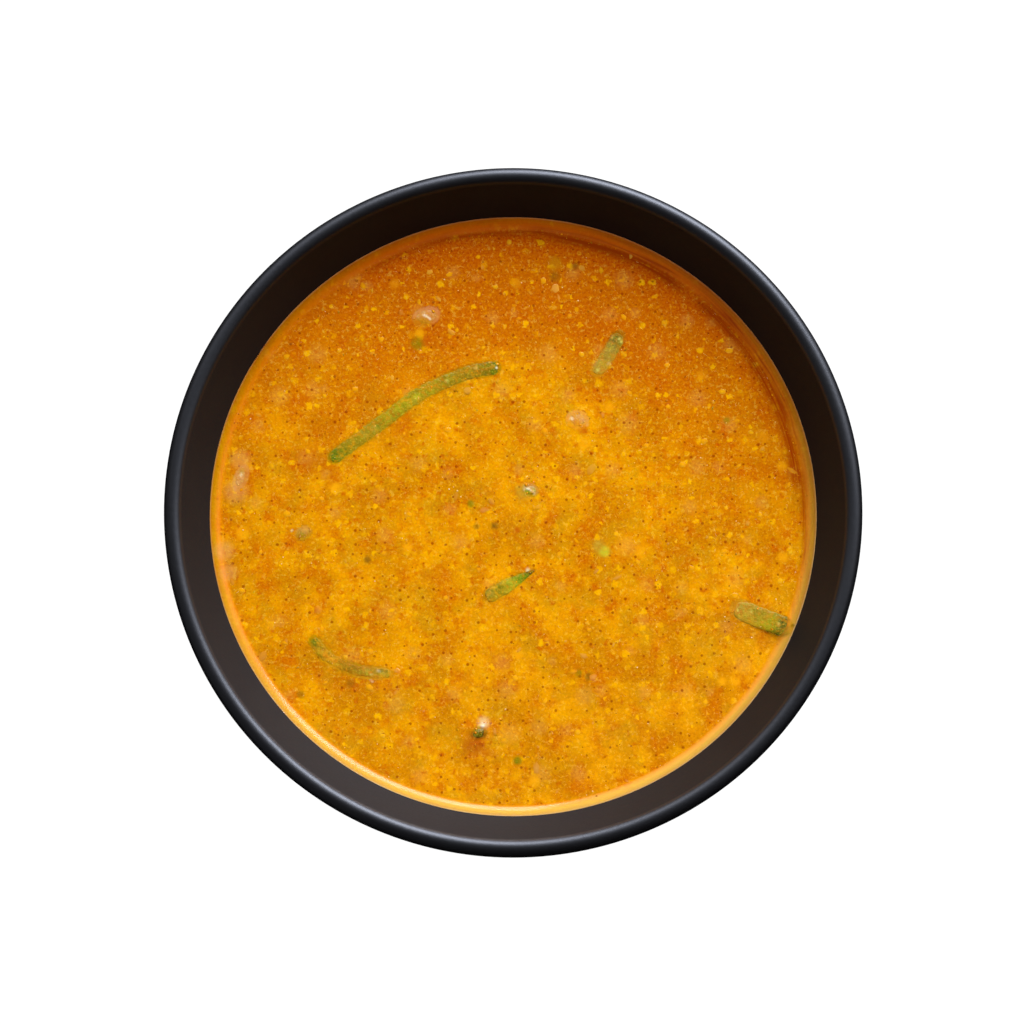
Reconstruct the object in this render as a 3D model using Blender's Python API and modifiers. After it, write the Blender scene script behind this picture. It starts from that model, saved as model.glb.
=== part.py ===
# A black stoneware bowl of sambar: the turned bowl, the soup up to its level with grains
# of lentil standing in its surface, and the cut vegetables that float half sunk in it.
# Metres, +Z up. The origin is the middle of the foot's underside. +Y is the far side.

import math
import random

import bmesh
import bpy
from mathutils import Vector, noise
from mathutils.geometry import interpolate_bezier

MM = 0.001
GAP = 0.3 * MM  # clearance between neighbouring solids
WELD = 0.01 * MM
TURN_STEPS = 60  # flats round a turned shape

# The bowl, a round shape with a curved wall, a beaded lip and a low foot ring
RIM_RADIUS = 80 * MM  # at the widest, half way up the lip
BOWL_HEIGHT = 56 * MM
LIP_RADIUS = 2.1 * MM
RIM_SLOPE = math.radians(58)  # inner wall against the table, right under the lip
FLOOR_HEIGHT = 8.1 * MM  # the inside, at its middle
FOOT_WALL = 6.5 * MM  # the wall is thickest where it runs into the foot
FOOT_RADIUS = 36 * MM
FOOT_FILLET_HEIGHT = 5.2 * MM
FOOT_RING_WIDTH = 5 * MM
FOOT_EDGE = 0.8 * MM
FOOT_RECESS = 2 * MM

# The soup, flat but for the rise where it wets the wall
CONTACT_HEIGHT = 46.3 * MM
MENISCUS_RISE = 1.9 * MM
MENISCUS_WIDTH = 3.8 * MM

# Lentil grains, spread on a sunflower spiral that starts at the middle
GRAIN_COUNT = 115
GRAIN_FIELD = 65.5 * MM  # radius of the spread
GRAIN_SIZES = (1.5 * MM, 2.7 * MM)
GRAIN_JITTER = 2.2 * MM
GRAIN_SINK = 0.15  # depth of a grain's middle, as a share of its size
GRAIN_CLEARANCE = 0.7 * MM  # between a grain and a piece of vegetable
GRAIN_SEED = 11

# Vegetable cut in strips: the route of its middle in mm, then width, height, how proud of
# the soup its top stands, and the length over which each end closes. A pointed one tapers
# evenly to its last end, and the others close like a fingertip. The lift is how much higher
# the last end lies, up on the rise at the wall.
STRIPS = {
    "green_chilli_strip": dict(
        route=[(-42.4, 12.6), (-31.5, 20.8), (-21.6, 28.2), (-11.2, 33.0), (-3.7, 34.5)],
        width=3.5, height=2.5, proud=0.8, ends=(1.6, 1.4), colour="6B8A14",
    ),
    "chilli_sliver": dict(
        route=[(-46.3, -29.6), (-42.3, -33.9), (-35.6, -36.9), (-28.2, -37.5)],
        width=3.0, height=2.0, proud=0.5, ends=(1.8, 3.5), colour="6F8420",
    ),
    "chilli_tip": dict(
        route=[(-6.1, -19.9), (-0.7, -16.7), (4.8, -13.5)],
        width=3.5, height=1.8, proud=0.6, ends=(1.6, 7.5), pointed=True, colour="6E9A18",
    ),
    "bean_piece": dict(
        route=[(25.0, 42.4), (22.6, 38.0), (19.3, 33.1)],
        width=3.6, height=2.4, proud=0.6, ends=(2.4, 2.0), colour="8F8A3A",
    ),
    "bean_end": dict(
        route=[(51.4, -22.2), (57.2, -24.7), (62.8, -26.9)],
        width=4.8, height=2.6, proud=0.9, ends=(2.2, 1.0), lift=1.8, colour="8E901C",
    ),
}

# Small cut pieces: middle in mm, then length, width, height, proud, turn in degrees
LUMPS = {
    "onion_piece_far": dict(
        at=(-20.4, 46.7), size=(6.6, 4.6, 1.8), proud=0.5, turn=20, colour="D98B4A",
    ),
    "onion_piece_middle": dict(
        at=(15.0, 22.0), size=(5.2, 4.4, 1.6), proud=0.35, turn=-15, colour="DE9A52",
    ),
    "onion_piece_left": dict(
        at=(-63.4, 8.2), size=(6.2, 3.0, 1.6), proud=0.35, turn=68, colour="D9A468",
    ),
    "leaf_bit": dict(
        at=(-48.7, -4.8), size=(3.8, 3.0, 1.4), proud=0.3, turn=30, colour="9C8A2C",
    ),
    "chilli_bit": dict(
        at=(4.0, 5.3), size=(3.6, 2.8, 2.2), proud=0.8, turn=-20, colour="6A8420",
    ),
    "peppercorn": dict(
        at=(-7.9, -51.3), size=(3.9, 2.8, 2.6), proud=0.9, turn=15, colour="4A4012",
    ),
}
LUMP_UNEVEN = 0.22

WALL_RADIUS = RIM_RADIUS - LIP_RADIUS - LIP_RADIUS * math.sin(RIM_SLOPE)
WALL_RISE = BOWL_HEIGHT - LIP_RADIUS + LIP_RADIUS * math.cos(RIM_SLOPE) - FLOOR_HEIGHT
WALL_POWER = math.tan(RIM_SLOPE) * WALL_RADIUS / WALL_RISE
CONTACT_RADIUS = WALL_RADIUS * ((CONTACT_HEIGHT - FLOOR_HEIGHT) / WALL_RISE) ** (1 / WALL_POWER)
SOUP_LEVEL = CONTACT_HEIGHT - MENISCUS_RISE


def wall_height(radius):
    return FLOOR_HEIGHT + WALL_RISE * (radius / WALL_RADIUS) ** WALL_POWER


def wall_slope(radius):
    steepness = WALL_POWER * WALL_RISE / WALL_RADIUS
    return math.atan(steepness * (radius / WALL_RADIUS) ** (WALL_POWER - 1))


def off_wall(radius, distance):
    # A point of the profile at a distance behind the inner wall, or before it if negative
    slope = wall_slope(radius)
    return radius + distance * math.sin(slope), wall_height(radius) - distance * math.cos(slope)


def arc(centre, radius, start, end, steps):
    # Points of a profile on an arc, its angles in degrees
    angles = [math.radians(start + (end - start) * i / steps) for i in range(steps + 1)]
    return [(centre[0] + radius * math.cos(a), centre[1] + radius * math.sin(a)) for a in angles]


def wet_radii(steps=9):
    return [CONTACT_RADIUS * i / steps for i in range(1, steps + 1)]


def bowl_profile():
    # From the middle of the inside up the wall, over the lip, down the outside and under
    profile = [(0, FLOOR_HEIGHT)]
    profile += [off_wall(radius, 0) for radius in wet_radii()]
    profile.append(off_wall((CONTACT_RADIUS + WALL_RADIUS) / 2, 0))
    lip = (RIM_RADIUS - LIP_RADIUS, BOWL_HEIGHT - LIP_RADIUS)
    slope = math.degrees(RIM_SLOPE)
    profile += arc(lip, LIP_RADIUS, 90 + slope, 90, 2)
    profile += arc(lip, LIP_RADIUS, 90, 0, 4)[1:]
    outer_steps = 8
    for i in range(outer_steps + 1):
        share = i / outer_steps
        radius = WALL_RADIUS + (FOOT_RADIUS - WALL_RADIUS) * share
        profile.append(off_wall(radius, 2 * LIP_RADIUS + (FOOT_WALL - 2 * LIP_RADIUS) * share))
    wall_end = profile[-1]
    fall = (wall_end[0] - FOOT_RADIUS) * math.tan(wall_slope(FOOT_RADIUS))
    knee = Vector((FOOT_RADIUS, wall_end[1] - fall))
    fillet_end = Vector((FOOT_RADIUS, FOOT_FILLET_HEIGHT))
    fillet = interpolate_bezier(Vector(wall_end), knee, knee, fillet_end, 5)
    profile += [tuple(point[:2]) for point in fillet[1:]]
    profile += arc((FOOT_RADIUS - FOOT_EDGE, FOOT_EDGE), FOOT_EDGE, 0, -90, 2)
    ring_inside = FOOT_RADIUS - FOOT_RING_WIDTH
    profile += arc((ring_inside + FOOT_EDGE, FOOT_EDGE), FOOT_EDGE, 270, 180, 2)
    profile += [(ring_inside, FOOT_RECESS), (0, FOOT_RECESS)]
    return profile


def soup_profile():
    # From the middle of the surface out to the wall, then down the wall to the middle
    edge_radius, edge_height = off_wall(CONTACT_RADIUS, -GAP)
    profile = [(0, SOUP_LEVEL)]
    profile += [(edge_radius * share, SOUP_LEVEL) for share in (0.4, 0.72)]
    rise_steps = 5
    for i in range(rise_steps):
        share = i / rise_steps
        radius = edge_radius - MENISCUS_WIDTH * (1 - share)
        profile.append((radius, SOUP_LEVEL + (edge_height - SOUP_LEVEL) * share**2))
    profile += [off_wall(radius, -GAP) for radius in reversed(wet_radii())]
    profile.append((0, FLOOR_HEIGHT + GAP))
    return profile


def linear(channel):
    return channel / 12.92 if channel <= 0.04045 else ((channel + 0.055) / 1.055) ** 2.4


def material(name, colour, roughness, coat=0.0):
    made = bpy.data.materials.new(name)
    made.use_nodes = True
    shader = made.node_tree.nodes["Principled BSDF"]
    channels = [linear(int(colour[i : i + 2], 16) / 255) for i in (0, 2, 4)]
    shader.inputs["Base Color"].default_value = (*channels, 1)
    shader.inputs["Roughness"].default_value = roughness
    shader.inputs["Metallic"].default_value = 0.0
    shader.inputs["Coat Weight"].default_value = coat
    return made


def collection(name):
    made = bpy.data.collections.new(name)
    bpy.context.scene.collection.children.link(made)
    return made


def add_object(name, mesh, home, finish=None):
    obj = bpy.data.objects.new(name, mesh)
    home.objects.link(obj)
    if finish:
        mesh.materials.append(finish)
    return obj


def turned(name, profile, home, finish):
    mesh = bpy.data.meshes.new(name)
    points = [(radius, 0, height) for radius, height in profile]
    mesh.from_pydata(points, [(i, i + 1) for i in range(len(points) - 1)], [])
    obj = add_object(name, mesh, home, finish)
    screw = obj.modifiers.new("turn", "SCREW")
    screw.steps = screw.render_steps = TURN_STEPS
    screw.use_merge_vertices = True
    screw.merge_threshold = WELD
    screw.use_smooth_shade = True
    return obj


def evaluated_mesh(obj):
    bpy.context.view_layer.update()
    return bpy.data.meshes.new_from_object(obj.evaluated_get(bpy.context.evaluated_depsgraph_get()))


def apply_modifiers(obj):
    mesh = evaluated_mesh(obj)
    obj.modifiers.clear()
    obj.data = mesh


def smooth_route(points):
    # Closely spaced points on a smooth curve through a few, all on the plane z = 0
    knots = [Vector((x * MM, y * MM, 0)) for x, y in points]
    knots = [2 * knots[0] - knots[1], *knots, 2 * knots[-1] - knots[-2]]
    route = []
    for before, start, end, after in zip(knots, knots[1:], knots[2:], knots[3:]):
        route += interpolate_bezier(start, start + (end - before) / 6, end - (after - start) / 6, end, 16)
    return route


def at_distance(route, distance):
    # The point at a distance along the route, also a little way before or past its ends
    left = distance
    for start, end in zip(route, route[1:]):
        length = (end - start).length
        if left <= length or end is route[-1]:
            return start + (end - start).normalized() * left if length else end
        left -= length
    return route[-1]


def strip_mesh(name, route, width, height, proud, ends, lift=0.0, pointed=False, grow=0.0):
    # A tube along the route, closed in at both ends, pressed flat and set in the soup
    route = smooth_route(route)
    length = sum((end - start).length for start, end in zip(route, route[1:]))
    closing = (0.0, 0.1, 0.32, 0.66)
    middle = [ends[0] * MM, length - ends[1] * MM]
    runs = max(1, round((middle[1] - middle[0]) / (width * MM)))
    distances = [ends[0] * MM * share for share in closing]
    distances += [middle[0] + (middle[1] - middle[0]) * i / runs for i in range(runs + 1)]
    distances += [length - ends[1] * MM * share for share in reversed(closing)]
    squeeze = (height * MM + 2 * grow) / (width * MM + 2 * grow)

    curve = bpy.data.curves.new(name, "CURVE")
    curve.dimensions = "3D"
    curve.bevel_depth = width / 2 * MM + grow
    curve.bevel_resolution = 3
    curve.use_fill_caps = True
    spline = curve.splines.new("POLY")
    spline.points.add(len(distances) - 1)
    for point, distance in zip(spline.points, distances):
        first, last = distance / (ends[0] * MM), (length - distance) / (ends[1] * MM)
        share = min(first, last, 1)
        outwards = grow * (2 * distance / length - 1)
        raised = Vector((0, 0, lift * MM / squeeze * (distance / length) ** 2))
        point.co = (*(at_distance(route, distance + outwards) + raised), 1)
        if pointed and last < first:
            point.radius = 0.12 + 0.88 * share
        else:
            point.radius = 0.28 + 0.72 * math.sqrt(1 - (1 - share) ** 2)
    guide = bpy.data.objects.new(name, curve)
    bpy.context.scene.collection.objects.link(guide)
    mesh = evaluated_mesh(guide)
    bpy.data.objects.remove(guide)
    bpy.data.curves.remove(curve)

    tube = bmesh.new()
    tube.from_mesh(mesh)
    bmesh.ops.remove_doubles(tube, verts=tube.verts, dist=WELD)
    for vert in tube.verts:
        vert.co.z = vert.co.z * squeeze + SOUP_LEVEL + (proud - height / 2) * MM
    bmesh.ops.recalc_face_normals(tube, faces=tube.faces)
    tube.to_mesh(mesh)
    tube.free()
    return mesh


def lump_mesh(name, at, size, proud, turn, grow=0.0):
    # An uneven, rounded bit of vegetable set in the soup
    lump = bmesh.new()
    bmesh.ops.create_uvsphere(lump, u_segments=12, v_segments=7, radius=1)
    heading = math.radians(turn)
    for vert in lump.verts:
        uneven = 1 + LUMP_UNEVEN * noise.noise(vert.co * 1.4 + Vector((at[0], at[1], 0)))
        x, y, z = (c * (s * MM / 2 * uneven + grow) for c, s in zip(vert.co, size))
        vert.co.x = at[0] * MM + x * math.cos(heading) - y * math.sin(heading)
        vert.co.y = at[1] * MM + x * math.sin(heading) + y * math.cos(heading)
        vert.co.z = z + SOUP_LEVEL + (proud - size[2] / 2) * MM
    mesh = bpy.data.meshes.new(name)
    lump.to_mesh(mesh)
    lump.free()
    return mesh


def add_garnish(name, spec, make_mesh, parts, cutters):
    # The piece itself, and the pocket that it leaves in the soup
    sizes = {key: value for key, value in spec.items() if key != "colour"}
    piece = add_object(name, make_mesh(name, **sizes), parts, material(name, spec["colour"], 0.35, 0.6))
    piece.data.shade_smooth()
    pocket = add_object(name + "_pocket", make_mesh(name + "_pocket", grow=GAP, **sizes), cutters)
    pocket.hide_render = True
    pocket.display_type = "WIRE"


def garnish_circles():
    # Circles that cover the pieces of vegetable, for keeping the grains off them
    circles = []
    for spec in STRIPS.values():
        circles += [(point, spec["width"] / 2 * MM) for point in smooth_route(spec["route"])]
    for spec in LUMPS.values():
        middle = Vector((spec["at"][0] * MM, spec["at"][1] * MM, 0))
        circles.append((middle, spec["size"][0] / 2 * MM * (1 + LUMP_UNEVEN)))
    return circles


def grain_places():
    # Place, size and turn of each lentil grain that stays clear of the others
    rng = random.Random(GRAIN_SEED)
    taken = garnish_circles()
    golden_turn = math.pi * (3 - math.sqrt(5))
    places = []
    for i in range(GRAIN_COUNT):
        radius = GRAIN_FIELD * math.sqrt((i + 0.5) / GRAIN_COUNT)
        middle = Vector((radius * math.cos(i * golden_turn), radius * math.sin(i * golden_turn), 0))
        middle += Vector((rng.uniform(-1, 1), rng.uniform(-1, 1), 0)) * GRAIN_JITTER
        size = rng.uniform(*GRAIN_SIZES)
        turn = rng.uniform(0, math.pi)
        reach = size / 2 + GRAIN_CLEARANCE
        if middle.length > GRAIN_FIELD:
            continue
        if all((middle - other).length > reach + other_reach for other, other_reach in taken):
            places.append((middle, size, turn))
            taken.append((middle, size / 2))
    return places


def add_grain(index, middle, size, turn, home):
    grain = bmesh.new()
    bmesh.ops.create_icosphere(grain, subdivisions=1, radius=size / 2)
    for vert in grain.verts:
        x, y, z = vert.co.x, vert.co.y * 0.8, vert.co.z
        vert.co.x = x * math.cos(turn) - y * math.sin(turn)
        vert.co.y = x * math.sin(turn) + y * math.cos(turn)
        vert.co.z = z
    mesh = bpy.data.meshes.new(f"grain_{index}")
    grain.to_mesh(mesh)
    grain.free()
    obj = add_object(mesh.name, mesh, home)
    obj.location = (middle.x, middle.y, SOUP_LEVEL - size * GRAIN_SINK)


def boolean(obj, operation, operands):
    modifier = obj.modifiers.new(operation.lower(), "BOOLEAN")
    modifier.operation = operation
    modifier.solver = "EXACT"
    modifier.operand_type = "COLLECTION"
    modifier.collection = operands


def build():
    for obj in list(bpy.data.objects):
        bpy.data.objects.remove(obj)
    parts = collection("bowl_of_sambar")
    cutters = collection("pockets")
    grains = collection("grains")

    turned("bowl", bowl_profile(), parts, material("black_glaze", "141417", 0.35))

    for name, spec in STRIPS.items():
        add_garnish(name, spec, strip_mesh, parts, cutters)
    for name, spec in LUMPS.items():
        add_garnish(name, spec, lump_mesh, parts, cutters)

    soup = turned("sambar", soup_profile(), parts, material("sambar", "D8900E", 0.3, 0.6))
    apply_modifiers(soup)
    for index, (middle, size, turn) in enumerate(grain_places()):
        add_grain(index, middle, size, turn, grains)
    boolean(soup, "UNION", grains)
    apply_modifiers(soup)
    for grain in list(grains.objects):
        bpy.data.objects.remove(grain)
    bpy.data.collections.remove(grains)
    boolean(soup, "DIFFERENCE", cutters)


build()
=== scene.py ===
import math
import random

import bmesh
import bpy
import numpy as np
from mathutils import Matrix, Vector, noise
from mathutils.geometry import interpolate_bezier


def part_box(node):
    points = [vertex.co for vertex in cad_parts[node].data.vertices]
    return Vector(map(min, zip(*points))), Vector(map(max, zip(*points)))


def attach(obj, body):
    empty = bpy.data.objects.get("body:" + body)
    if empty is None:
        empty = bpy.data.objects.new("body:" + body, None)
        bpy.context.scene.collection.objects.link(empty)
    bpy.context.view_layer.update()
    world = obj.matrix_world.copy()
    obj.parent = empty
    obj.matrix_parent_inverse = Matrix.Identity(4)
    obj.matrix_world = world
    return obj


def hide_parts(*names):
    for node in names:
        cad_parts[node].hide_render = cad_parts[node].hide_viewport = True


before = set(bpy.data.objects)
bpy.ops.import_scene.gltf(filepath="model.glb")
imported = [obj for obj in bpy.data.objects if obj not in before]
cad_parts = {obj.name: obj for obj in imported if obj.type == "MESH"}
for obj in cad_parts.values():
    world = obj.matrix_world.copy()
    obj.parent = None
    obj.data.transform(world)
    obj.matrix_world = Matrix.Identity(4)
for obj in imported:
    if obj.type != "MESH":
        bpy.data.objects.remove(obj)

mm = 0.001
turn = 2 * math.pi
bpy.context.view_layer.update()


def toLinear(hexColour):
    # sRGB hex to the linear colour that shaders take
    def channel(text):
        value = int(text, 16) / 255
        return value / 12.92 if value <= 0.04045 else ((value + 0.055) / 1.055) ** 2.4
    return (channel(hexColour[0:2]), channel(hexColour[2:4]), channel(hexColour[4:6]), 1.0)


def per(size):
    # texture scale for a feature of that size in mm, on coordinates in metres
    return 1 / (size * mm)


def addNode(tree, kind, inputs, output=0, stops=(), **settings):
    # adds a node with its settings, values and links, and gives back one of its outputs
    node = tree.nodes.new("ShaderNode" + kind)
    for name, value in settings.items():
        setattr(node, name, value)
    for key, value in inputs.items():
        if isinstance(value, bpy.types.NodeSocket):
            tree.links.new(value, node.inputs[key])
        else:
            node.inputs[key].default_value = value
    if stops:
        elements = node.color_ramp.elements
        while len(elements) < len(stops):
            elements.new(0.5)
        for element, (place, shade) in zip(elements, stops):
            element.position = place
            element.color = toLinear(shade) if isinstance(shade, str) else (shade, shade, shade, 1)
    return node.outputs[output]


def layer(tree, colour, mask, strength, shade):
    # one more colour over the last, where its mask is
    amount = addNode(tree, "Math", {0: mask, 1: strength}, operation="MULTIPLY")
    over = toLinear(shade) if isinstance(shade, str) else shade
    return addNode(tree, "Mix", {0: amount, 6: colour, 7: over}, 2, data_type="RGBA")


def startMaterial(name, **values):
    # a new material with these values on its shader's sockets, and the piece's own coordinates
    material = bpy.data.materials.new(name)
    material.use_nodes = True
    tree = material.node_tree
    shader = tree.nodes["Principled BSDF"]
    for key, value in values.items():
        shader.inputs[key.replace("_", " ")].default_value = value
    place = addNode(tree, "TexCoord", {}, "Object")
    return material, tree, shader, place


def newPiece(name, verts, faces, material, slot, replaced=(), fields=None):
    # a mesh piece that rides on the one body; faces are rows of equal length
    mesh = bpy.data.meshes.new(name)
    verts = np.asarray(verts, dtype=np.float32)
    faces = np.asarray(faces, dtype=np.int32)
    corners = faces.shape[1]
    mesh.vertices.add(len(verts))
    mesh.vertices.foreach_set("co", verts.ravel())
    mesh.loops.add(faces.size)
    mesh.loops.foreach_set("vertex_index", faces.ravel())
    mesh.polygons.add(len(faces))
    mesh.polygons.foreach_set("loop_start", np.arange(0, faces.size, corners, dtype=np.int32))
    mesh.update(calc_edges=True)
    mesh.validate()
    for label, values in (fields or {}).items():
        values = np.asarray(values, dtype=np.float32)
        if values.ndim == 1:
            mesh.attributes.new(label, "FLOAT", "POINT").data.foreach_set("value", values)
        else:
            values = np.column_stack([values, np.ones(len(values), dtype=np.float32)])
            mesh.attributes.new(label, "FLOAT_COLOR", "POINT").data.foreach_set("color", values.ravel())
    mesh.shade_smooth()
    piece = bpy.data.objects.new(name, mesh)
    bpy.context.scene.collection.objects.link(piece)
    mesh.materials.append(material)
    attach(piece, "root")
    if replaced:
        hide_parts(*replaced)

# camera: nearly overhead, a little towards the front, as the photograph is
cameraView = {"aim": (-0.27, -1.34, 53.9), "distance": 649.4, "tilt": 9.24, "lens": 99.69}

tilt = math.radians(cameraView["tilt"])
cameraData = bpy.data.cameras.new("camera")
cameraData.lens = cameraView["lens"]
cameraData.sensor_width = 36
camera = bpy.data.objects.new("camera", cameraData)
back = Vector((0, -math.sin(tilt), math.cos(tilt)))
camera.location = (Vector(cameraView["aim"]) + back * cameraView["distance"]) * mm
camera.rotation_euler = (tilt, 0, 0)
bpy.context.scene.collection.objects.link(camera)
bpy.context.scene.camera = camera
print("camera set")


bowlShape = {
    "lipRadius": 2.1,
    "rimSlope": 58,
    "floorHeight": 8.1,
    "footWall": 6.5,
    "footRadius": 36,
    "filletHeight": 5.2,
    "ringWidth": 5,
    "footEdge": 0.8,
    "recess": 2,
    "turnSteps": 240,
    "wallSteps": 40,
    "outerSteps": 24,
}
soupShape = {
    "contactHeight": 46.3,
    "meniscusRise": 1.9,
    "meniscusWidth": 2.9,
    "wallGap": 0.3,
    "flatRing": 0.5,
    "edgeRing": 0.2,
    "edgeBand": 8.0,
    "wallRows": (0.985, 0.9, 0.75, 0.55, 0.3),
    "swell": 0.04,
    "swellSize": 11,
    "clingReach": 2.2,
    "clingRough": 1.3,
}

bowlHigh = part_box("bowl")[1]
rimRadius = bowlHigh[0] / mm
bowlHeight = bowlHigh[2] / mm
rimSlope = math.radians(bowlShape["rimSlope"])
lipRadius = bowlShape["lipRadius"]
wallRadius = rimRadius - lipRadius - lipRadius * math.sin(rimSlope)
wallRise = bowlHeight - lipRadius + lipRadius * math.cos(rimSlope) - bowlShape["floorHeight"]
wallPower = math.tan(rimSlope) * wallRadius / wallRise
contactShare = (soupShape["contactHeight"] - bowlShape["floorHeight"]) / wallRise
contactRadius = wallRadius * contactShare ** (1 / wallPower)
soupLevel = soupShape["contactHeight"] - soupShape["meniscusRise"]


def offWall(radius, distance):
    # a point behind the inner wall, or before it where the distance is negative
    height = bowlShape["floorHeight"] + wallRise * (radius / wallRadius) ** wallPower
    slope = math.atan(wallPower * wallRise / wallRadius * (radius / wallRadius) ** (wallPower - 1))
    return radius + distance * math.sin(slope), height - distance * math.cos(slope)


def arc(centre, radius, start, end, steps):
    # points on a round stretch of the profile, from one angle in degrees to another
    angles = [math.radians(start + (end - start) * i / steps) for i in range(steps + 1)]
    return [(centre[0] + radius * math.cos(a), centre[1] + radius * math.sin(a)) for a in angles]


def bowlProfile():
    # from the middle of the floor up the inner wall, over the lip, down the outside and round the foot ring
    steps = bowlShape["wallSteps"]
    footRadius, footWall = bowlShape["footRadius"], bowlShape["footWall"]
    profile = [(0, bowlShape["floorHeight"])]
    profile += [offWall(wallRadius * i / steps, 0) for i in range(1, steps)]
    lip = (rimRadius - lipRadius, bowlHeight - lipRadius)
    profile += arc(lip, lipRadius, 90 + bowlShape["rimSlope"], 0, 20)
    profile += arc(lip, lipRadius, 0, bowlShape["rimSlope"] - 90, 5)[1:-1]
    for i in range(bowlShape["outerSteps"] + 1):
        share = i / bowlShape["outerSteps"]
        wall = 2 * lipRadius + (footWall - 2 * lipRadius) * share
        profile.append(offWall(wallRadius + (footRadius - wallRadius) * share, wall))
    wallEnd = Vector(profile[-1])
    slope = math.atan2(profile[-2][1] - wallEnd.y, profile[-2][0] - wallEnd.x)
    knee = Vector((footRadius, wallEnd.y - (wallEnd.x - footRadius) * math.tan(slope)))
    filletEnd = Vector((footRadius, bowlShape["filletHeight"]))
    profile += [tuple(point[:2]) for point in interpolate_bezier(wallEnd, knee, knee, filletEnd, 9)[1:]]
    edge = bowlShape["footEdge"]
    profile += arc((footRadius - edge, edge), edge, 0, -90, 5)
    inside = footRadius - bowlShape["ringWidth"]
    profile += arc((inside + edge, edge), edge, 270, 180, 5)
    profile += [(inside, bowlShape["recess"]), (inside - 0.6, bowlShape["recess"]), (0, bowlShape["recess"])]
    return profile


def addTurned(name, profile, steps):
    # a profile in mm spun into a mesh piece, closed at the axis
    mesh = bpy.data.meshes.new(name)
    points = [(radius * mm, 0, height * mm) for radius, height in profile]
    mesh.from_pydata(points, [(i, i + 1) for i in range(len(points) - 1)], [])
    piece = bpy.data.objects.new(name, mesh)
    bpy.context.scene.collection.objects.link(piece)
    screw = piece.modifiers.new("turn", "SCREW")
    screw.steps = screw.render_steps = steps
    screw.use_merge_vertices = True
    screw.merge_threshold = 0.00001
    screw.use_smooth_shade = True
    bpy.context.view_layer.update()
    made = bpy.data.meshes.new_from_object(piece.evaluated_get(bpy.context.evaluated_depsgraph_get()))
    piece.modifiers.clear()
    piece.data = made
    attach(piece, "root")
    return piece


glaze = {"wallRoughness": 0.58, "wallShine": 0.41, "lipRoughness": 0.4, "lipShine": 0.95, "grit": 0.08}


def satinGlaze():
    # black satin glaze, poured: dull on the wall with a wide soft sheen, glossier where it ran over the lip
    material, tree, shader, place = startMaterial(
        "satinBlackGlaze", IOR=1.6, Specular_Tint=toLinear("E4E9FA"))
    cloud = addNode(tree, "TexNoise", {"Vector": place, "Scale": per(9), "Detail": 3.0})
    colour = addNode(tree, "ValToRGB", {0: cloud}, stops=[(0.3, "040304"), (0.7, "080707")])
    facing = addNode(tree, "NewGeometry", {}, "Normal")
    upward = addNode(tree, "SeparateXYZ", {0: facing}, "Z")
    outside = addNode(tree, "MapRange", {0: upward, "From Min": 0.1, "From Max": -0.3})
    # painted reflection: where the outside faces down it is painted a lighter grey, in place of the white
    # floor it would mirror
    colour = layer(tree, colour, outside, 1.0, "1C1B1D")
    tree.links.new(colour, shader.inputs["Base Color"])
    flat = addNode(tree, "VectorMath", {0: place, 1: (1, 1, 0)}, operation="MULTIPLY")
    radius = addNode(tree, "VectorMath", {0: flat}, "Value", operation="LENGTH")
    lip = addNode(tree, "MapRange", {
        0: radius, "From Min": (wallRadius - 0.3) * mm, "From Max": (wallRadius + 0.2) * mm})
    lip = addNode(tree, "Math", {0: lip, 1: outside}, operation="MAXIMUM")
    gloss = addNode(tree, "MapRange", {
        0: lip, "To Min": glaze["wallRoughness"], "To Max": glaze["lipRoughness"]})
    grit = addNode(tree, "TexNoise", {"Vector": place, "Scale": per(0.5)})  # real pinholes: about 0.1 mm
    gloss = addNode(tree, "Math", {0: grit, 1: glaze["grit"], 2: gloss}, operation="MULTIPLY_ADD")
    tree.links.new(gloss, shader.inputs["Roughness"])
    shine = addNode(tree, "MapRange", {0: lip, "To Min": glaze["wallShine"], "To Max": glaze["lipShine"]})
    tree.links.new(shine, shader.inputs["Specular IOR Level"])
    orangePeel = addNode(tree, "TexNoise", {"Vector": place, "Scale": per(1.3), "Detail": 1.0})
    normal = addNode(tree, "Bump", {"Height": orangePeel, "Distance": 0.02 * mm})
    tree.links.new(normal, shader.inputs["Normal"])
    return material


def bareStoneware():
    # unglazed stoneware on the foot: dry, dark brown clay with fine grog
    material, tree, shader, place = startMaterial("bareStoneware", IOR=1.5, Roughness=0.85)
    grog = addNode(tree, "TexNoise", {"Vector": place, "Scale": per(0.6), "Detail": 4.0, "Roughness": 0.7})
    colour = addNode(tree, "ValToRGB", {0: grog}, stops=[(0.35, "3A2C22"), (0.5, "54412F"), (0.7, "6B5541")])
    tree.links.new(colour, shader.inputs["Base Color"])
    normal = addNode(tree, "Bump", {"Height": grog, "Distance": 0.08 * mm})
    tree.links.new(normal, shader.inputs["Normal"])
    return material


bowl = addTurned("stoneware_bowl", bowlProfile(), bowlShape["turnSteps"])
bowl.data.materials.append(satinGlaze())
bowl.data.materials.append(bareStoneware())
for face in bowl.data.polygons:
    low = max(bowl.data.vertices[i].co.z for i in face.vertices) < 1.0 * mm
    face.material_index = 1 if low else 0
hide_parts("bowl")
print("bowl:", len(bowl.data.polygons), "faces")
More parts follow.
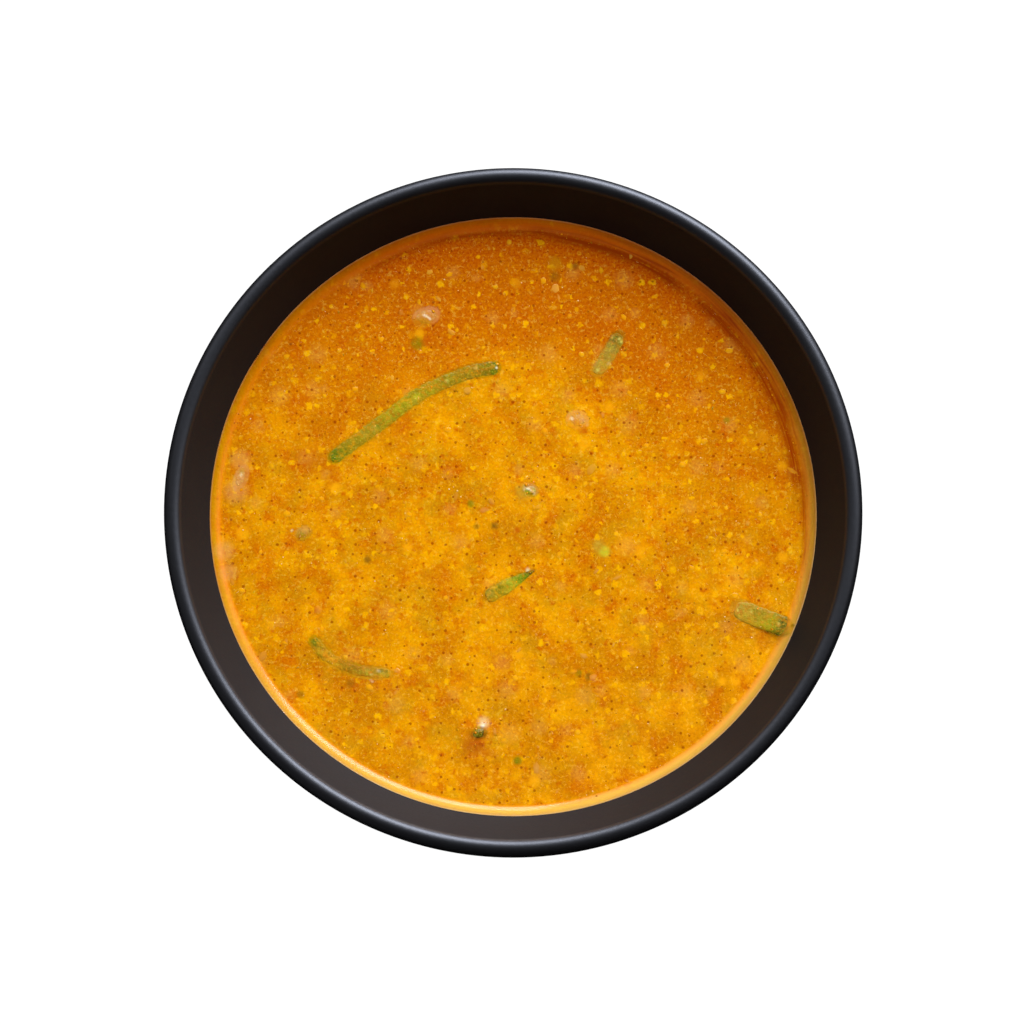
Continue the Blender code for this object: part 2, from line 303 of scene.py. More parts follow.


# shades of the cooked food, for spots and stains, and pale shades for painted highlights and glints
shades = {
    "deepGreen": "527004", "moss": "6E7A0A", "green": "7C940A", "olive": "8C7E0A", "yellowGreen": "AEA40E",
    "lime": "C6C42C", "straw": "B89E30", "creamAndHighlight": "E8DC68", "paleGlint": "F2DCA8", "glint": "FFF4D8",
    "onion": "DC9E56", "dal": "F4AA0A", "gravy": "E6960C", "ochre": "C8840A", "chilliRedAndShadow": "C45C06",
    "brown": "7E5610", "umber": "564604", "nearBlack": "302E02",
}
vegetableShape = {
    "rowStep": 0.35,
    "sides": 44,
    "crown": 0.34,
    "flatness": 3.0,
    "rough": 0.12,
    "pits": 0.08,
    "blunt": 0.28,
    "point": 0.12,
}
# skin: shades along a piece, each with its place from 0 to 1; nearLight: how much lighter its near side is
strips = {
    "green_chilli_strip": {
        "route": [(-42.4, 12.6), (-31.5, 20.8), (-21.6, 28.2), (-11.2, 33.0), (-3.7, 34.5)],
        "width": 3.5, "height": 2.5, "shown": 0.32, "ends": (1.6, 1.4),
        "skin": [(0, "547204"), (0.11, "A0820A"), (0.5, "AC940E"), (0.88, "9C760A"), (1, "706C06")],
        "nearLight": 1.0},
    "chilli_sliver": {
        "route": [(-46.3, -29.6), (-42.3, -33.9), (-35.6, -36.9), (-28.2, -37.5)],
        "width": 3.0, "height": 2.0, "shown": 0.22, "ends": (1.8, 3.5),
        "skin": [(0, "6E7E04"), (0.1, "A2840A"), (0.3, "C28E0B"), (0.55, "A07C0C"), (0.8, "AE8E18"),
                 (1, "C08E14")],
        "nearLight": 1.2},
    "chilli_tip": {
        "route": [(-6.1, -19.9), (-0.7, -16.7), (4.8, -13.5)],
        "width": 3.5, "height": 1.8, "shown": 0.35, "ends": (1.6, 7.5), "pointed": True,
        "skin": [(0, "AA7A08"), (0.3, "AE8E0C"), (0.5, "A09C16"), (0.77, "688A06"), (1, "3C3A02")],
        "nearLight": 1.15},
    "bean_piece": {
        "route": [(25.0, 42.4), (22.6, 38.0), (19.3, 33.1)],
        "width": 3.6, "height": 2.4, "shown": 0.28, "ends": (2.4, 2.0),
        "skin": [(0, "78640E"), (0.35, "96761E"), (0.65, "AE841C"), (1, "C28A14")],
        "nearLight": 1.08},
    "bean_end": {
        "route": [(51.4, -22.2), (57.2, -24.7), (62.8, -26.9)],
        "width": 4.8, "height": 2.6, "shown": 0.4, "ends": (2.2, 1.0), "lift": 1.2,
        "skin": [(0, "BC8E22"), (0.35, "BA961C"), (0.67, "AA900C"), (0.78, "968206"), (0.9, "5E5C08"),
                 (1, "5C5C14")],
        "nearLight": 1.1},
}
# small rounded pieces, with a shade at the far side and one at the near side
lumps = {
    "onion_piece_far": {
        "at": (-20.4, 46.7), "size": (6.6, 4.6, 1.8), "shown": 0.22, "crown": 0.35, "turn": 20,
        "far": "DA9B65", "near": "D68638"},
    "onion_piece_middle": {
        "at": (15.0, 22.0), "size": (5.2, 4.4, 1.6), "shown": 0.16, "crown": 0.3, "turn": -15,
        "far": "E0A055", "near": "DB8726"},
    "onion_piece_left": {
        "at": (-63.4, 8.2), "size": (6.2, 3.0, 1.6), "shown": 0.16, "crown": 0.3, "turn": 68,
        "far": "DAA164", "near": "D6934A"},
    "leaf_bit": {
        "at": (-48.7, -4.8), "size": (3.8, 3.0, 1.4), "shown": 0.16, "crown": 0.3, "turn": 30,
        "far": "BE984C", "near": "A8811E"},
    "chilli_bit": {
        "at": (4.0, 5.3), "size": (3.6, 2.8, 2.2), "shown": 0.55, "crown": 0.65, "turn": -20,
        "far": "BA985C", "near": "6A6208"},
    "peppercorn": {
        "at": (-7.9, -51.3), "size": (3.9, 2.8, 2.6), "shown": 0.95, "crown": 1.2, "turn": 15,
        "far": "6D5C0C", "near": "4F3E07"},
}
# spots and facets on each piece: x, y, radius, strength, shade. The white glint spots and the palest spots
# are painted highlights, and so are most of the cream spots on the bean piece.
marksAndHighlights = {
    "green_chilli_strip": [
        (-41.9, 12.9, 1.0, 0.8, "deepGreen"), (-39.8, 14.3, 0.9, 0.6, "moss"),
        (-34.6, 18.6, 0.9, 0.5, "straw"), (-32.6, 19.9, 1.0, 0.7, "straw"), (-31.4, 20.6, 0.7, 0.7, "moss"),
        (-29.7, 22.2, 1.2, 0.6, "yellowGreen"), (-26.4, 24.9, 1.3, 0.8, "yellowGreen"),
        (-24.6, 26.4, 1.0, 0.6, "yellowGreen"), (-22.5, 27.4, 0.8, 0.9, "lime"),
        (-19.3, 28.6, 1.1, 0.6, "yellowGreen"), (-15.5, 31.3, 0.4, 0.9, "creamAndHighlight"),
        (-14.6, 32.6, 1.0, 0.6, "olive"), (-12.6, 29.6, 0.5, 0.8, "umber"),
        (-11.0, 31.3, 0.7, 0.6, "straw"), (-8.7, 34.4, 0.4, 0.7, "creamAndHighlight"), (-7.4, 31.9, 0.8, 0.7, "green"),
        (-4.3, 35.4, 0.8, 0.8, "deepGreen"), (-4.8, 33.3, 0.8, 0.8, "moss"),
        (-3.9, 34.4, 0.3, 0.8, "glint")],
    "chilli_sliver": [
        (-45.8, -29.4, 0.8, 0.9, "deepGreen"), (-45.2, -30.6, 0.9, 0.8, "moss"),
        (-43.3, -31.2, 0.5, 0.6, "brown"), (-42.0, -32.3, 0.9, 0.6, "yellowGreen"),
        (-38.9, -33.1, 0.6, 0.7, "straw"), (-36.4, -34.1, 1.2, 0.8, "olive"),
        (-41.3, -34.4, 1.2, 0.9, "gravy"), (-40.2, -33.6, 0.6, 0.8, "gravy"),
        (-43.2, -33.2, 1.0, 0.9, "gravy"), (-35.8, -35.3, 0.7, 0.6, "olive"),
        (-33.8, -36.6, 1.0, 0.7, "straw"), (-32.0, -37.2, 1.0, 0.7, "straw"),
        (-30.8, -36.9, 0.35, 0.9, "glint"), (-32.7, -37.7, 0.3, 0.8, "paleGlint"),
        (-29.8, -37.2, 0.8, 0.7, "straw"), (-30.9, -38.2, 0.5, 0.6, "olive"),
        (-27.4, -37.1, 0.4, 0.6, "brown")],
    "chilli_tip": [
        (-5.4, -18.9, 0.9, 0.8, "straw"), (-4.3, -17.5, 0.7, 0.9, "yellowGreen"),
        (-3.1, -18.0, 0.9, 0.8, "olive"), (-1.7, -15.9, 0.7, 0.9, "lime"), (-0.9, -16.4, 0.7, 0.9, "lime"),
        (0.1, -16.1, 0.6, 0.8, "lime"), (-0.5, -17.1, 0.5, 0.7, "yellowGreen"),
        (0.9, -15.3, 0.7, 0.7, "green"), (1.9, -14.8, 0.9, 0.9, "green"),
        (3.6, -14.1, 0.6, 1.0, "nearBlack"), (4.4, -13.8, 0.5, 1.0, "nearBlack"),
        (-5.7, -17.6, 0.5, 0.9, "brown"), (-4.5, -16.8, 0.45, 0.9, "brown"),
        (-3.2, -16.0, 0.45, 0.9, "umber"), (-1.6, -15.2, 0.35, 0.8, "brown"),
        (0.4, -14.7, 0.35, 0.8, "umber"), (1.9, -14.1, 0.3, 0.8, "umber")],
    "chilli_bit": [
        (5.2, 5.1, 0.9, 0.7, "straw"), (2.4, 5.7, 0.7, 0.7, "straw"), (2.2, 5.2, 0.3, 0.7, "brown"),
        (4.2, 3.9, 0.7, 0.95, "deepGreen"), (4.8, 4.0, 0.5, 0.9, "green"),
        (3.7, 4.6, 0.5, 0.8, "yellowGreen"), (2.9, 3.8, 0.6, 0.9, "brown"), (3.1, 4.9, 0.4, 0.8, "lime"),
        (2.6, 5.6, 0.3, 0.9, "paleGlint"), (3.1, 5.7, 0.32, 0.95, "glint"), (3.6, 5.6, 0.32, 0.95, "glint"),
        (4.1, 5.2, 0.3, 0.9, "paleGlint"), (4.6, 4.9, 0.3, 0.85, "paleGlint"), (5.0, 4.5, 0.3, 0.8, "paleGlint")],
    "bean_piece": [
        (22.6, 39.2, 1.2, 0.6, "straw"), (24.0, 42.3, 0.6, 0.7, "moss"), (25.0, 39.8, 0.9, 0.6, "olive"),
        (24.6, 38.2, 0.5, 0.7, "olive"), (20.5, 36.0, 1.0, 0.6, "straw"), (19.5, 34.4, 0.9, 0.6, "straw"),
        (22.7, 42.1, 0.4, 0.9, "creamAndHighlight"), (23.3, 41.7, 0.3, 0.7, "creamAndHighlight"), (24.9, 41.4, 0.35, 0.8, "creamAndHighlight"),
        (25.4, 40.7, 0.35, 0.85, "creamAndHighlight"), (19.8, 33.8, 0.4, 0.9, "creamAndHighlight"), (18.9, 35.3, 0.7, 0.6, "onion"),
        (22.5, 35.4, 0.4, 0.6, "paleGlint")],
    "bean_end": [
        (52.9, -21.9, 1.3, 0.6, "straw"), (56.0, -23.4, 1.3, 0.6, "olive"),
        (59.6, -26.0, 1.4, 0.7, "yellowGreen"), (57.0, -26.4, 1.0, 0.5, "yellowGreen"),
        (60.4, -25.0, 0.7, 0.6, "yellowGreen"), (61.2, -26.1, 0.4, 0.8, "creamAndHighlight"),
        (62.4, -25.3, 0.7, 0.95, "nearBlack"), (63.0, -25.6, 0.6, 0.95, "nearBlack"),
        (62.1, -27.0, 0.4, 0.9, "nearBlack"), (61.2, -28.0, 0.3, 0.9, "nearBlack"),
        (62.9, -28.0, 0.5, 0.9, "moss"), (58.6, -28.2, 0.6, 0.8, "moss"), (64.3, -26.2, 1.0, 0.9, "gravy"),
        (64.0, -27.8, 0.8, 0.9, "gravy"), (51.9, -22.9, 0.3, 0.8, "creamAndHighlight"),
        (55.0, -23.3, 0.35, 0.7, "creamAndHighlight"), (52.1, -25.0, 0.3, 0.7, "creamAndHighlight")],
    "leaf_bit": [
        (-48.0, -3.9, 0.9, 0.7, "onion"), (-49.6, -5.1, 1.0, 0.7, "olive"),
        (-48.7, -5.8, 0.8, 0.6, "yellowGreen")],
    "onion_piece_far": [
        (-21.8, 48.3, 1.2, 0.7, "onion"), (-18.4, 46.6, 1.1, 0.8, "onion"),
        (-17.9, 45.4, 0.8, 0.6, "onion"), (-21.2, 45.2, 1.5, 0.9, "ochre"),
        (-19.9, 44.5, 1.2, 0.8, "ochre"), (-22.2, 47.0, 0.35, 0.6, "onion"),
        (-22.9, 45.3, 1.3, 0.95, "ochre"), (-23.2, 46.5, 0.3, 0.6, "onion"),
        (-21.3, 47.1, 0.25, 0.8, "paleGlint"), (-20.9, 47.0, 0.28, 0.95, "glint"),
        (-20.4, 46.8, 0.28, 0.95, "glint"), (-19.9, 46.5, 0.26, 0.95, "glint"),
        (-19.5, 46.1, 0.25, 0.8, "glint")],
    "onion_piece_middle": [
        (15.0, 22.9, 1.3, 0.6, "onion"), (16.9, 21.6, 1.0, 0.6, "onion"), (13.4, 20.9, 0.6, 0.7, "dal"),
        (16.4, 19.8, 1.2, 0.7, "gravy"), (13.7, 22.3, 0.4, 0.9, "glint"), (17.4, 20.9, 0.3, 0.8, "paleGlint")],
    "onion_piece_left": [
        (-63.3, 10.0, 0.8, 0.6, "straw"), (-63.4, 8.9, 0.4, 0.8, "paleGlint"), (-64.9, 6.9, 1.4, 0.6, "onion")],
    "peppercorn": [
        (-8.4, -50.8, 0.9, 0.7, "olive"), (-7.1, -50.2, 0.6, 0.8, "umber"),
        (-9.4, -51.6, 0.5, 0.8, "brown"), (-6.6, -51.7, 0.5, 0.9, "nearBlack"),
        (-7.6, -50.7, 0.45, 0.6, "brown"), (-8.7, -52.0, 0.35, 0.8, "straw"),
        (-7.6, -51.9, 0.3, 0.7, "olive")],
}
# soft stains of what lies just under the surface, by shade: x, y, radius, strength; some are painted light
# on top of the surface instead, as marked below
stainsAndLight = {
    "dal": [
        (-62.8, -4.8, 1.5, 0.8), (-41.4, 6.0, 1.3, 0.9), (-24.5, -8.1, 1.2, 0.8), (1.0, -32.9, 1.3, 0.8),
        (29.5, -9.1, 1.3, 0.7), (62.5, -10.5, 1.3, 0.8), (48.0, -39.3, 1.1, 0.8), (51.2, -39.3, 1.2, 0.8),
        (22.5, 25.0, 1.2, 0.7), (16.7, 16.2, 1.4, 0.7), (4.9, -62.1, 1.3, 0.8), (62.6, 11.0, 1.2, 0.7),
        (-22.0, 42.7, 1.2, 0.8)],
    "gravy": [
        (-27.9, 54.7, 1.2, 0.7), (0.8, 54.7, 1.2, 0.6), (58.2, 18.1, 1.3, 0.6), (44.1, 32.6, 1.3, 0.6)],
    "ochre": [
        (9.8, 59.6, 1.8, 0.7)],
    "brown": [
        (9.8, 56.4, 1.3, 0.5), (14.6, 58.9, 0.9, 0.6), (-4.3, -3.0, 0.9, 0.8), (-8.5, -3.2, 0.6, 0.8),
        (-33.8, -11.0, 0.8, 0.8), (17.4, -38.2, 0.9, 0.8), (-37.4, -39.8, 1.0, 0.5),
        (-48.9, -42.3, 0.9, 0.6), (64.4, -26.5, 0.4, 0.9)],
    "lime": [
        (21.2, -9.1, 1.3, 0.8)],
    "straw": [
        (19.8, -7.8, 1.5, 0.5), (2.4, 4.9, 1.8, 0.5)],
    "olive": [
        (-22.4, 40.3, 1.6, 0.7), (49.9, 21.9, 0.8, 0.6), (15.1, -37.3, 0.8, 0.7)],
    # chilli-red stains; the three round (-9, -54), (-8, -54) and (-5, -56), below the peppercorn, are its
    # painted shadow
    "chilliRedAndShadow": [
        (-20.3, 41.0, 1.3, 0.7), (16.4, 19.5, 1.2, 0.7), (0.9, -4.1, 0.8, 0.8), (20.6, -44.6, 0.9, 0.7),
        (-9.2, -53.6, 2.6, 0.55), (-5.2, -56.0, 1.6, 0.4), (-47.0, 13.0, 3.4, 0.3),
        (-8.2, -53.6, 2.0, 0.45)],
    "moss": [
        (1.0, -57.5, 1.0, 0.8), (-9.9, 2.2, 0.8, 0.8)],
    # onion stains along the left edge; the two at (-67, -9) and (-66, -14) are a painted highlight where the
    # soup rises to the wall
    "onion": [
        (-64.5, 5.0, 2.6, 0.4), (-63.6, 12.5, 2.2, 0.35), (-67.0, -9.0, 2.2, 0.45),
        (-66.0, -14.0, 2.0, 0.4)],
    # pale stains: painted highlights on the soup at the edges of the pieces, and the soft halo round the
    # glint beside the peppercorn
    "paleGlint": [
        (-6.8, -48.8, 1.3, 0.5), (-51.4, -4.1, 0.3, 0.8), (-32.5, -39.2, 0.3, 0.9), (3.4, -13.5, 0.5, 0.9)],
    # a painted highlight on the soup just above the peppercorn
    "glint": [
        (-6.9, -49.5, 0.55, 0.95)],
}


def smoothRoute(points, steps=16):
    # closely spaced points in mm on a smooth curve through a few
    knots = [Vector((x, y)) for x, y in points]
    knots = [2 * knots[0] - knots[1], *knots, 2 * knots[-1] - knots[-2]]
    route = []
    for before, start, end, after in zip(knots, knots[1:], knots[2:], knots[3:]):
        leave, arrive = start + (end - before) / 6, end - (after - start) / 6
        route += [point.to_2d() for point in interpolate_bezier(start, leave, arrive, end, steps)]
    return np.array(route)


def reachAlong(route):
    # distance in mm from the first point, at each point
    return np.concatenate([[0], np.cumsum(np.linalg.norm(np.diff(route, axis=0), axis=1))])


def thickness(spec, reach, length):
    # how wide a strip is there, as a share of its width: closed like a fingertip, or to a point
    first, last = reach / spec["ends"][0], (length - reach) / spec["ends"][1]
    share = np.clip(np.minimum(first, last), 0, 1)
    blunt, point = vegetableShape["blunt"], vegetableShape["point"]
    rounded = blunt + (1 - blunt) * np.sqrt(1 - (1 - share) ** 2)
    if not spec.get("pointed"):
        return rounded
    return np.where(last < first, point + (1 - point) * share, rounded)


def locate(name, x, y):
    # along from 0 to 1, side from -1 near to 1 far, and distance in mm outside the piece
    if name in strips:
        spec = strips[name]
        route = smoothRoute(spec["route"])
        reach = reachAlong(route)
        heading = np.gradient(route, axis=0)
        heading /= np.linalg.norm(heading, axis=1)[:, None]
        apart = np.hypot(x[:, None] - route[:, 0], y[:, None] - route[:, 1])
        half = spec["width"] / 2 * thickness(spec, reach, reach[-1])
        nearest = np.argmin(apart - half, axis=1)
        dx, dy = x - route[nearest, 0], y - route[nearest, 1]
        across = heading[nearest, 0] * dy - heading[nearest, 1] * dx
        if heading[0, 0] < 0:
            across = -across
        gap = (apart - half)[np.arange(len(x)), nearest]
        return reach[nearest] / reach[-1], np.clip(across / half[nearest], -1, 1), gap
    spec = lumps[name]
    heading = math.radians(spec["turn"])
    dx, dy = x - spec["at"][0], y - spec["at"][1]
    u = (dx * math.cos(heading) + dy * math.sin(heading)) / (spec["size"][0] / 2)
    v = (dy * math.cos(heading) - dx * math.sin(heading)) / (spec["size"][1] / 2)
    away = np.hypot(u, v)
    return np.clip(u, -1, 1) / 2 + 0.5, np.clip(v, -1, 1), (away - 1) * spec["size"][1] / 2


def paint(name, along, side, x, y):
    # the linear colour of a vegetable at those places, with its edges wandering a little
    wander = fieldNoise(x, y, 1.1, 4.4)
    far = np.clip(0.5 + (side + wander * 0.5) * 1.2, 0, 1)[:, None]
    if name in strips:
        places, skin = zip(*strips[name]["skin"])
        skin = np.array([toLinear(shade)[:3] for shade in skin])
        here = np.clip(along + wander * 0.03, 0, 1)
        colour = np.column_stack([np.interp(here, places, skin[:, i]) for i in range(3)])
        colour = colour * strips[name]["nearLight"] ** (1 - 2 * far)
    else:
        farShade, nearShade = (np.array(toLinear(lumps[name][end])[:3]) for end in ("far", "near"))
        colour = farShade * far + nearShade * (1 - far)
    for sx, sy, radius, strength, shade in marksAndHighlights[name]:
        weight = strength * np.exp(-((np.hypot(x - sx, y - sy) / radius) ** 3))[:, None]
        colour = colour * (1 - weight) + np.array(toLinear(shades[shade])[:3]) * weight
    return colour


def fieldNoise(x, y, size, seed):
    # smooth noise from -1 to 1 over features of that size in mm
    return np.array([noise.noise((a / size, b / size, seed)) for a, b in zip(x, y)])


def nearFood(x, y, reach=3.0):
    # for each vegetable, the points near it and where they lie on it
    for name in [*strips, *lumps]:
        spec = strips.get(name) or lumps[name]
        points = np.array(spec["route"] if name in strips else [spec["at"]])
        extra = reach + (spec["width"] if name in strips else max(spec["size"][:2])) / 2
        low, high = points.min(axis=0) - extra, points.max(axis=0) + extra
        near = np.flatnonzero((x > low[0]) & (x < high[0]) & (y > low[1]) & (y < high[1]))
        if len(near):
            yield name, spec, near, *locate(name, x[near], y[near])


def liftAt(spec, along):
    # how far a piece that leans on the wall is raised there
    return spec.get("lift", 0) * along**2


def soupTop(x, y):
    # height of the soup in mm: flat, but for the wall, a slow swell and its cling to the pieces
    x, y = np.asarray(x, float), np.asarray(y, float)
    off = np.clip((contactRadius - np.hypot(x, y)) / soupShape["meniscusWidth"], 0, 1)
    rise = 1 - 1.5 * off + 0.5 * off**3
    climb = soupShape["meniscusRise"] * rise
    swell = fieldNoise(x, y, soupShape["swellSize"], 3.1) * soupShape["swell"]
    rough = fieldNoise(x, y, soupShape["clingRough"], 6.2)
    cling = np.zeros(len(x))
    for name, spec, near, along, side, gap in nearFood(x, y):
        film = spec["shown"] * (0.6 + 0.2 * rough[near]) + liftAt(spec, along) * 0.2
        lying = film * np.exp(-((np.clip(gap, 0, None) / soupShape["clingReach"]) ** 2))
        cling[near] = np.maximum(cling[near], lying)
    return soupLevel + np.maximum(climb, cling) + swell * (1 - rise)


def soupMesh():
    # rings of triangles from the middle to the wall, then down the wall to a closed floor
    inner = np.arange(0, contactRadius - soupShape["edgeBand"], soupShape["flatRing"])
    outerRings = round((contactRadius - inner[-1]) / soupShape["edgeRing"])
    outer = np.linspace(inner[-1], contactRadius, outerRings + 1)
    radii = np.concatenate([inner, outer[1:]])
    points, faces = [(0.0, 0.0)], []
    starts = [0]
    for k in range(1, len(radii)):
        starts.append(len(points))
        angles = np.arange(6 * k) * turn / (6 * k)
        points += list(zip(radii[k] * np.cos(angles), radii[k] * np.sin(angles)))
        below, here = starts[k - 1], starts[k]
        lower, count = max(6 * (k - 1), 1), 6 * k
        for side in range(6):
            for j in range(k):
                a = here + (side * k + j) % count
                b = here + (side * k + j + 1) % count
                c = below + (side * (k - 1) + j) % lower
                faces.append((a, b, c))
                if j < k - 1:
                    faces.append((b, below + (side * (k - 1) + j + 1) % lower, c))
    points = np.array(points)
    heights = soupTop(points[:, 0], points[:, 1])
    rim, count = starts[-1], 6 * (len(radii) - 1)
    verts = [np.column_stack([points, heights])]
    angles = np.arange(count) * turn / count
    total = len(points)
    for share in soupShape["wallRows"]:
        radius, height = offWall(contactRadius * share, -soupShape["wallGap"])
        row = [radius * np.cos(angles), radius * np.sin(angles), np.full(count, height)]
        verts.append(np.column_stack(row))
        for j in range(count):
            a, b = rim + j, rim + (j + 1) % count
            c, d = total + j, total + (j + 1) % count
            faces += [(b, a, c), (b, c, d)]
        rim, total = total, total + count
    verts.append(np.array([[0, 0, bowlShape["floorHeight"] + soupShape["wallGap"]]]))
    faces += [(rim + (j + 1) % count, rim + j, total) for j in range(count)]
    return np.concatenate(verts), np.array(faces)


# dark red streaks along the wall on its shaded side: start and end angle, radius at each, width, strength
darkRedStreaks = [
    (122, 99, 66.8, 67.9, 1.6, 0.5),
    (112, 84, 67.0, 66.9, 1.4, 0.6),
    (89, 52, 67.0, 66.5, 1.9, 1.0),
    (84, 54, 68.3, 68.2, 0.5, 0.5),
    (51, 28, 66.9, 66.8, 2.2, 0.85),
    (35, 3, 66.9, 66.4, 2.6, 0.85),
    (46, 12, 68.6, 68.5, 0.5, 0.5),
    (12, -12, 67.6, 68.0, 1.4, 0.55),
]
# fine dark red lines along the wall, 0.35 mm apart
darkRedLines = {"size": 3.4, "across": 10, "along": 0.35, "facing": 50, "halfWidth": 60, "inside": 67}
# chilli-red soup at the far side, and a redder rim to it, partly redder broth and partly painted shade,
# darker where the rim's shadow falls; angles in degrees and radii in mm
redAndShadeTop = {"facing": 82, "halfWidth": 65, "start": 32, "ramp": 14, "edgeStart": 58.5, "edgeRamp": 5.5}


# pulp drawn thin up the wall, with painted light: painted pale where the light falls on it, and a bright
# painted line at the wall, weaker in shade; distances in mm in from the wall
litPaleEdge = {"facing": -75, "shaded": 0.1, "reach": 2.6, "ramp": 1.2, "paleLitLine": 0.3, "lineShaded": 0.4,
            "calmStart": 3.0, "calmEnd": 2.0}


def edgeFields(x, y):
    # dark red streaks, a broad reddening of the soup behind them that is partly painted shade, and the pale
    # pulp at the wall, painted paler where the light falls on it
    radius, angle = np.hypot(x, y), np.degrees(np.arctan2(y, x))
    wander = fieldNoise(x, y, 6, 8.7) * 0.5
    amount = np.zeros(len(x))
    for start, end, firstRadius, lastRadius, width, strength in darkRedStreaks:
        share = np.clip((start - angle) / (start - end), 0, 1)
        fade = np.clip(np.minimum(start - angle, angle - end) / 4, 0, 1)
        centre = firstRadius + (lastRadius - firstRadius) * share + wander
        amount = np.maximum(amount, strength * fade * np.exp(-(((radius - centre) / (width * 0.6)) ** 2)))
    lines = fieldNoise(radius * darkRedLines["across"], angle * darkRedLines["along"], darkRedLines["size"], 2.2)
    amount *= np.clip(0.95 + 0.9 * lines, 0.3, 1.2)
    shaded = np.clip(1 - np.abs(angle - darkRedLines["facing"]) / darkRedLines["halfWidth"], 0, 1)
    amount += np.clip(lines, 0, 1) * shaded * np.clip((radius - darkRedLines["inside"]) * 0.9, 0, 1)
    facing = np.clip(1.5 - np.abs(angle - redAndShadeTop["facing"]) / redAndShadeTop["halfWidth"], 0, 1)
    broad = np.clip((radius + 4 * wander - redAndShadeTop["start"]) / redAndShadeTop["ramp"], 0, 1)
    edge = np.clip((radius + 2 * wander - redAndShadeTop["edgeStart"]) / redAndShadeTop["edgeRamp"], 0, 1)
    towards = np.cos(np.radians(angle - litPaleEdge["facing"]))
    lit = np.clip(litPaleEdge["shaded"] + (1 - litPaleEdge["shaded"]) * towards, 0, 1)
    inward = contactRadius - radius
    starchAndLight = lit * np.clip((litPaleEdge["reach"] - inward) / litPaleEdge["ramp"], 0, 1)
    paleLitLine = np.clip(1 - inward / litPaleEdge["paleLitLine"], 0, 1) * np.clip(litPaleEdge["lineShaded"] + lit, 0, 1)
    return {"redStreaks": np.clip(amount, 0, 1), "reddenAndShade": facing * broad, "edgeRedAndShade": facing**2 * edge,
            "starchAndLight": starchAndLight, "paleLitLine": paleLitLine}


def underColour(x, y):
    # what shows through the soup's surface: stains, and the vegetables' edges under its film; among the
    # stains are some painted highlights and a painted shadow
    colour, cover = np.zeros((len(x), 3)), np.zeros(len(x))

    def add(near, shade, weight):
        left = cover[near] * (1 - weight)
        total = np.maximum(weight + left, 1e-6)
        colour[near] = (shade * weight[:, None] + colour[near] * left[:, None]) / total[:, None]
        cover[near] = weight + left

    for shade, places in stainsAndLight.items():
        for sx, sy, radius, strength in places:
            near = np.flatnonzero(np.hypot(x - sx, y - sy) < radius * 2)
            weight = strength * np.exp(-((np.hypot(x[near] - sx, y[near] - sy) / radius) ** 4))
            add(near, np.array(toLinear(shades[shade])[:3]), weight)
    for name, spec, near, along, side, gap in nearFood(x, y):
        weight = 0.5 * np.clip(1 - gap / 0.3, 0, 1) ** 1.5
        add(near, paint(name, along, side, x[near], y[near]), weight)
    return colour, cover


def gravyColour(tree, place):
    # the cloudy orange-yellow of lentil gravy, without the bits in it
    flat = addNode(tree, "VectorMath", {0: place, 1: (1, 1, 0)}, operation="MULTIPLY")

    def cloud(size, detail, low, high):
        fog = addNode(tree, "TexNoise", {
            "Vector": flat, "Scale": per(size), "Detail": detail, "Roughness": 0.62})
        return addNode(tree, "MapRange", {0: fog, "From Min": low, "From Max": high})

    colour = layer(tree, toLinear("ECA000"), cloud(14, 2.0, 0.4, 0.6), 1.0, "C87B00")
    colour = layer(tree, colour, cloud(6.0, 4.0, 0.47, 0.66), 0.85, "CC6200")
    colour = layer(tree, colour, cloud(8.0, 3.0, 0.5, 0.66), 0.65, "C8900C")
    return layer(tree, colour, cloud(4.5, 3.0, 0.54, 0.7), 0.55, "F4B000")


def softSpots(tree, place, spacing, sizes, share, soft):
    # a mask of soft round patches, at most one to a cell, and a number that differs by cell
    inputs = {"Vector": place, "Scale": per(spacing), "Randomness": 1.0}
    away = addNode(tree, "TexVoronoi", inputs, "Distance", voronoi_dimensions="2D")
    draw = addNode(tree, "SeparateColor", {0: away.node.outputs["Color"]}).node.outputs
    small, large = (size / 2 / spacing for size in sizes)
    radius = addNode(tree, "MapRange", {0: draw[0], "To Min": small, "To Max": large})
    ratio = addNode(tree, "Math", {0: away, 1: radius}, operation="DIVIDE")
    blob = addNode(tree, "MapRange", {0: ratio, "From Min": 1.0, "From Max": 1 - soft},
                   interpolation_type="SMOOTHSTEP")
    there = addNode(tree, "Math", {0: draw[1], 1: share}, operation="LESS_THAN")
    return addNode(tree, "Math", {0: blob, 1: there}, operation="MULTIPLY"), draw[2]


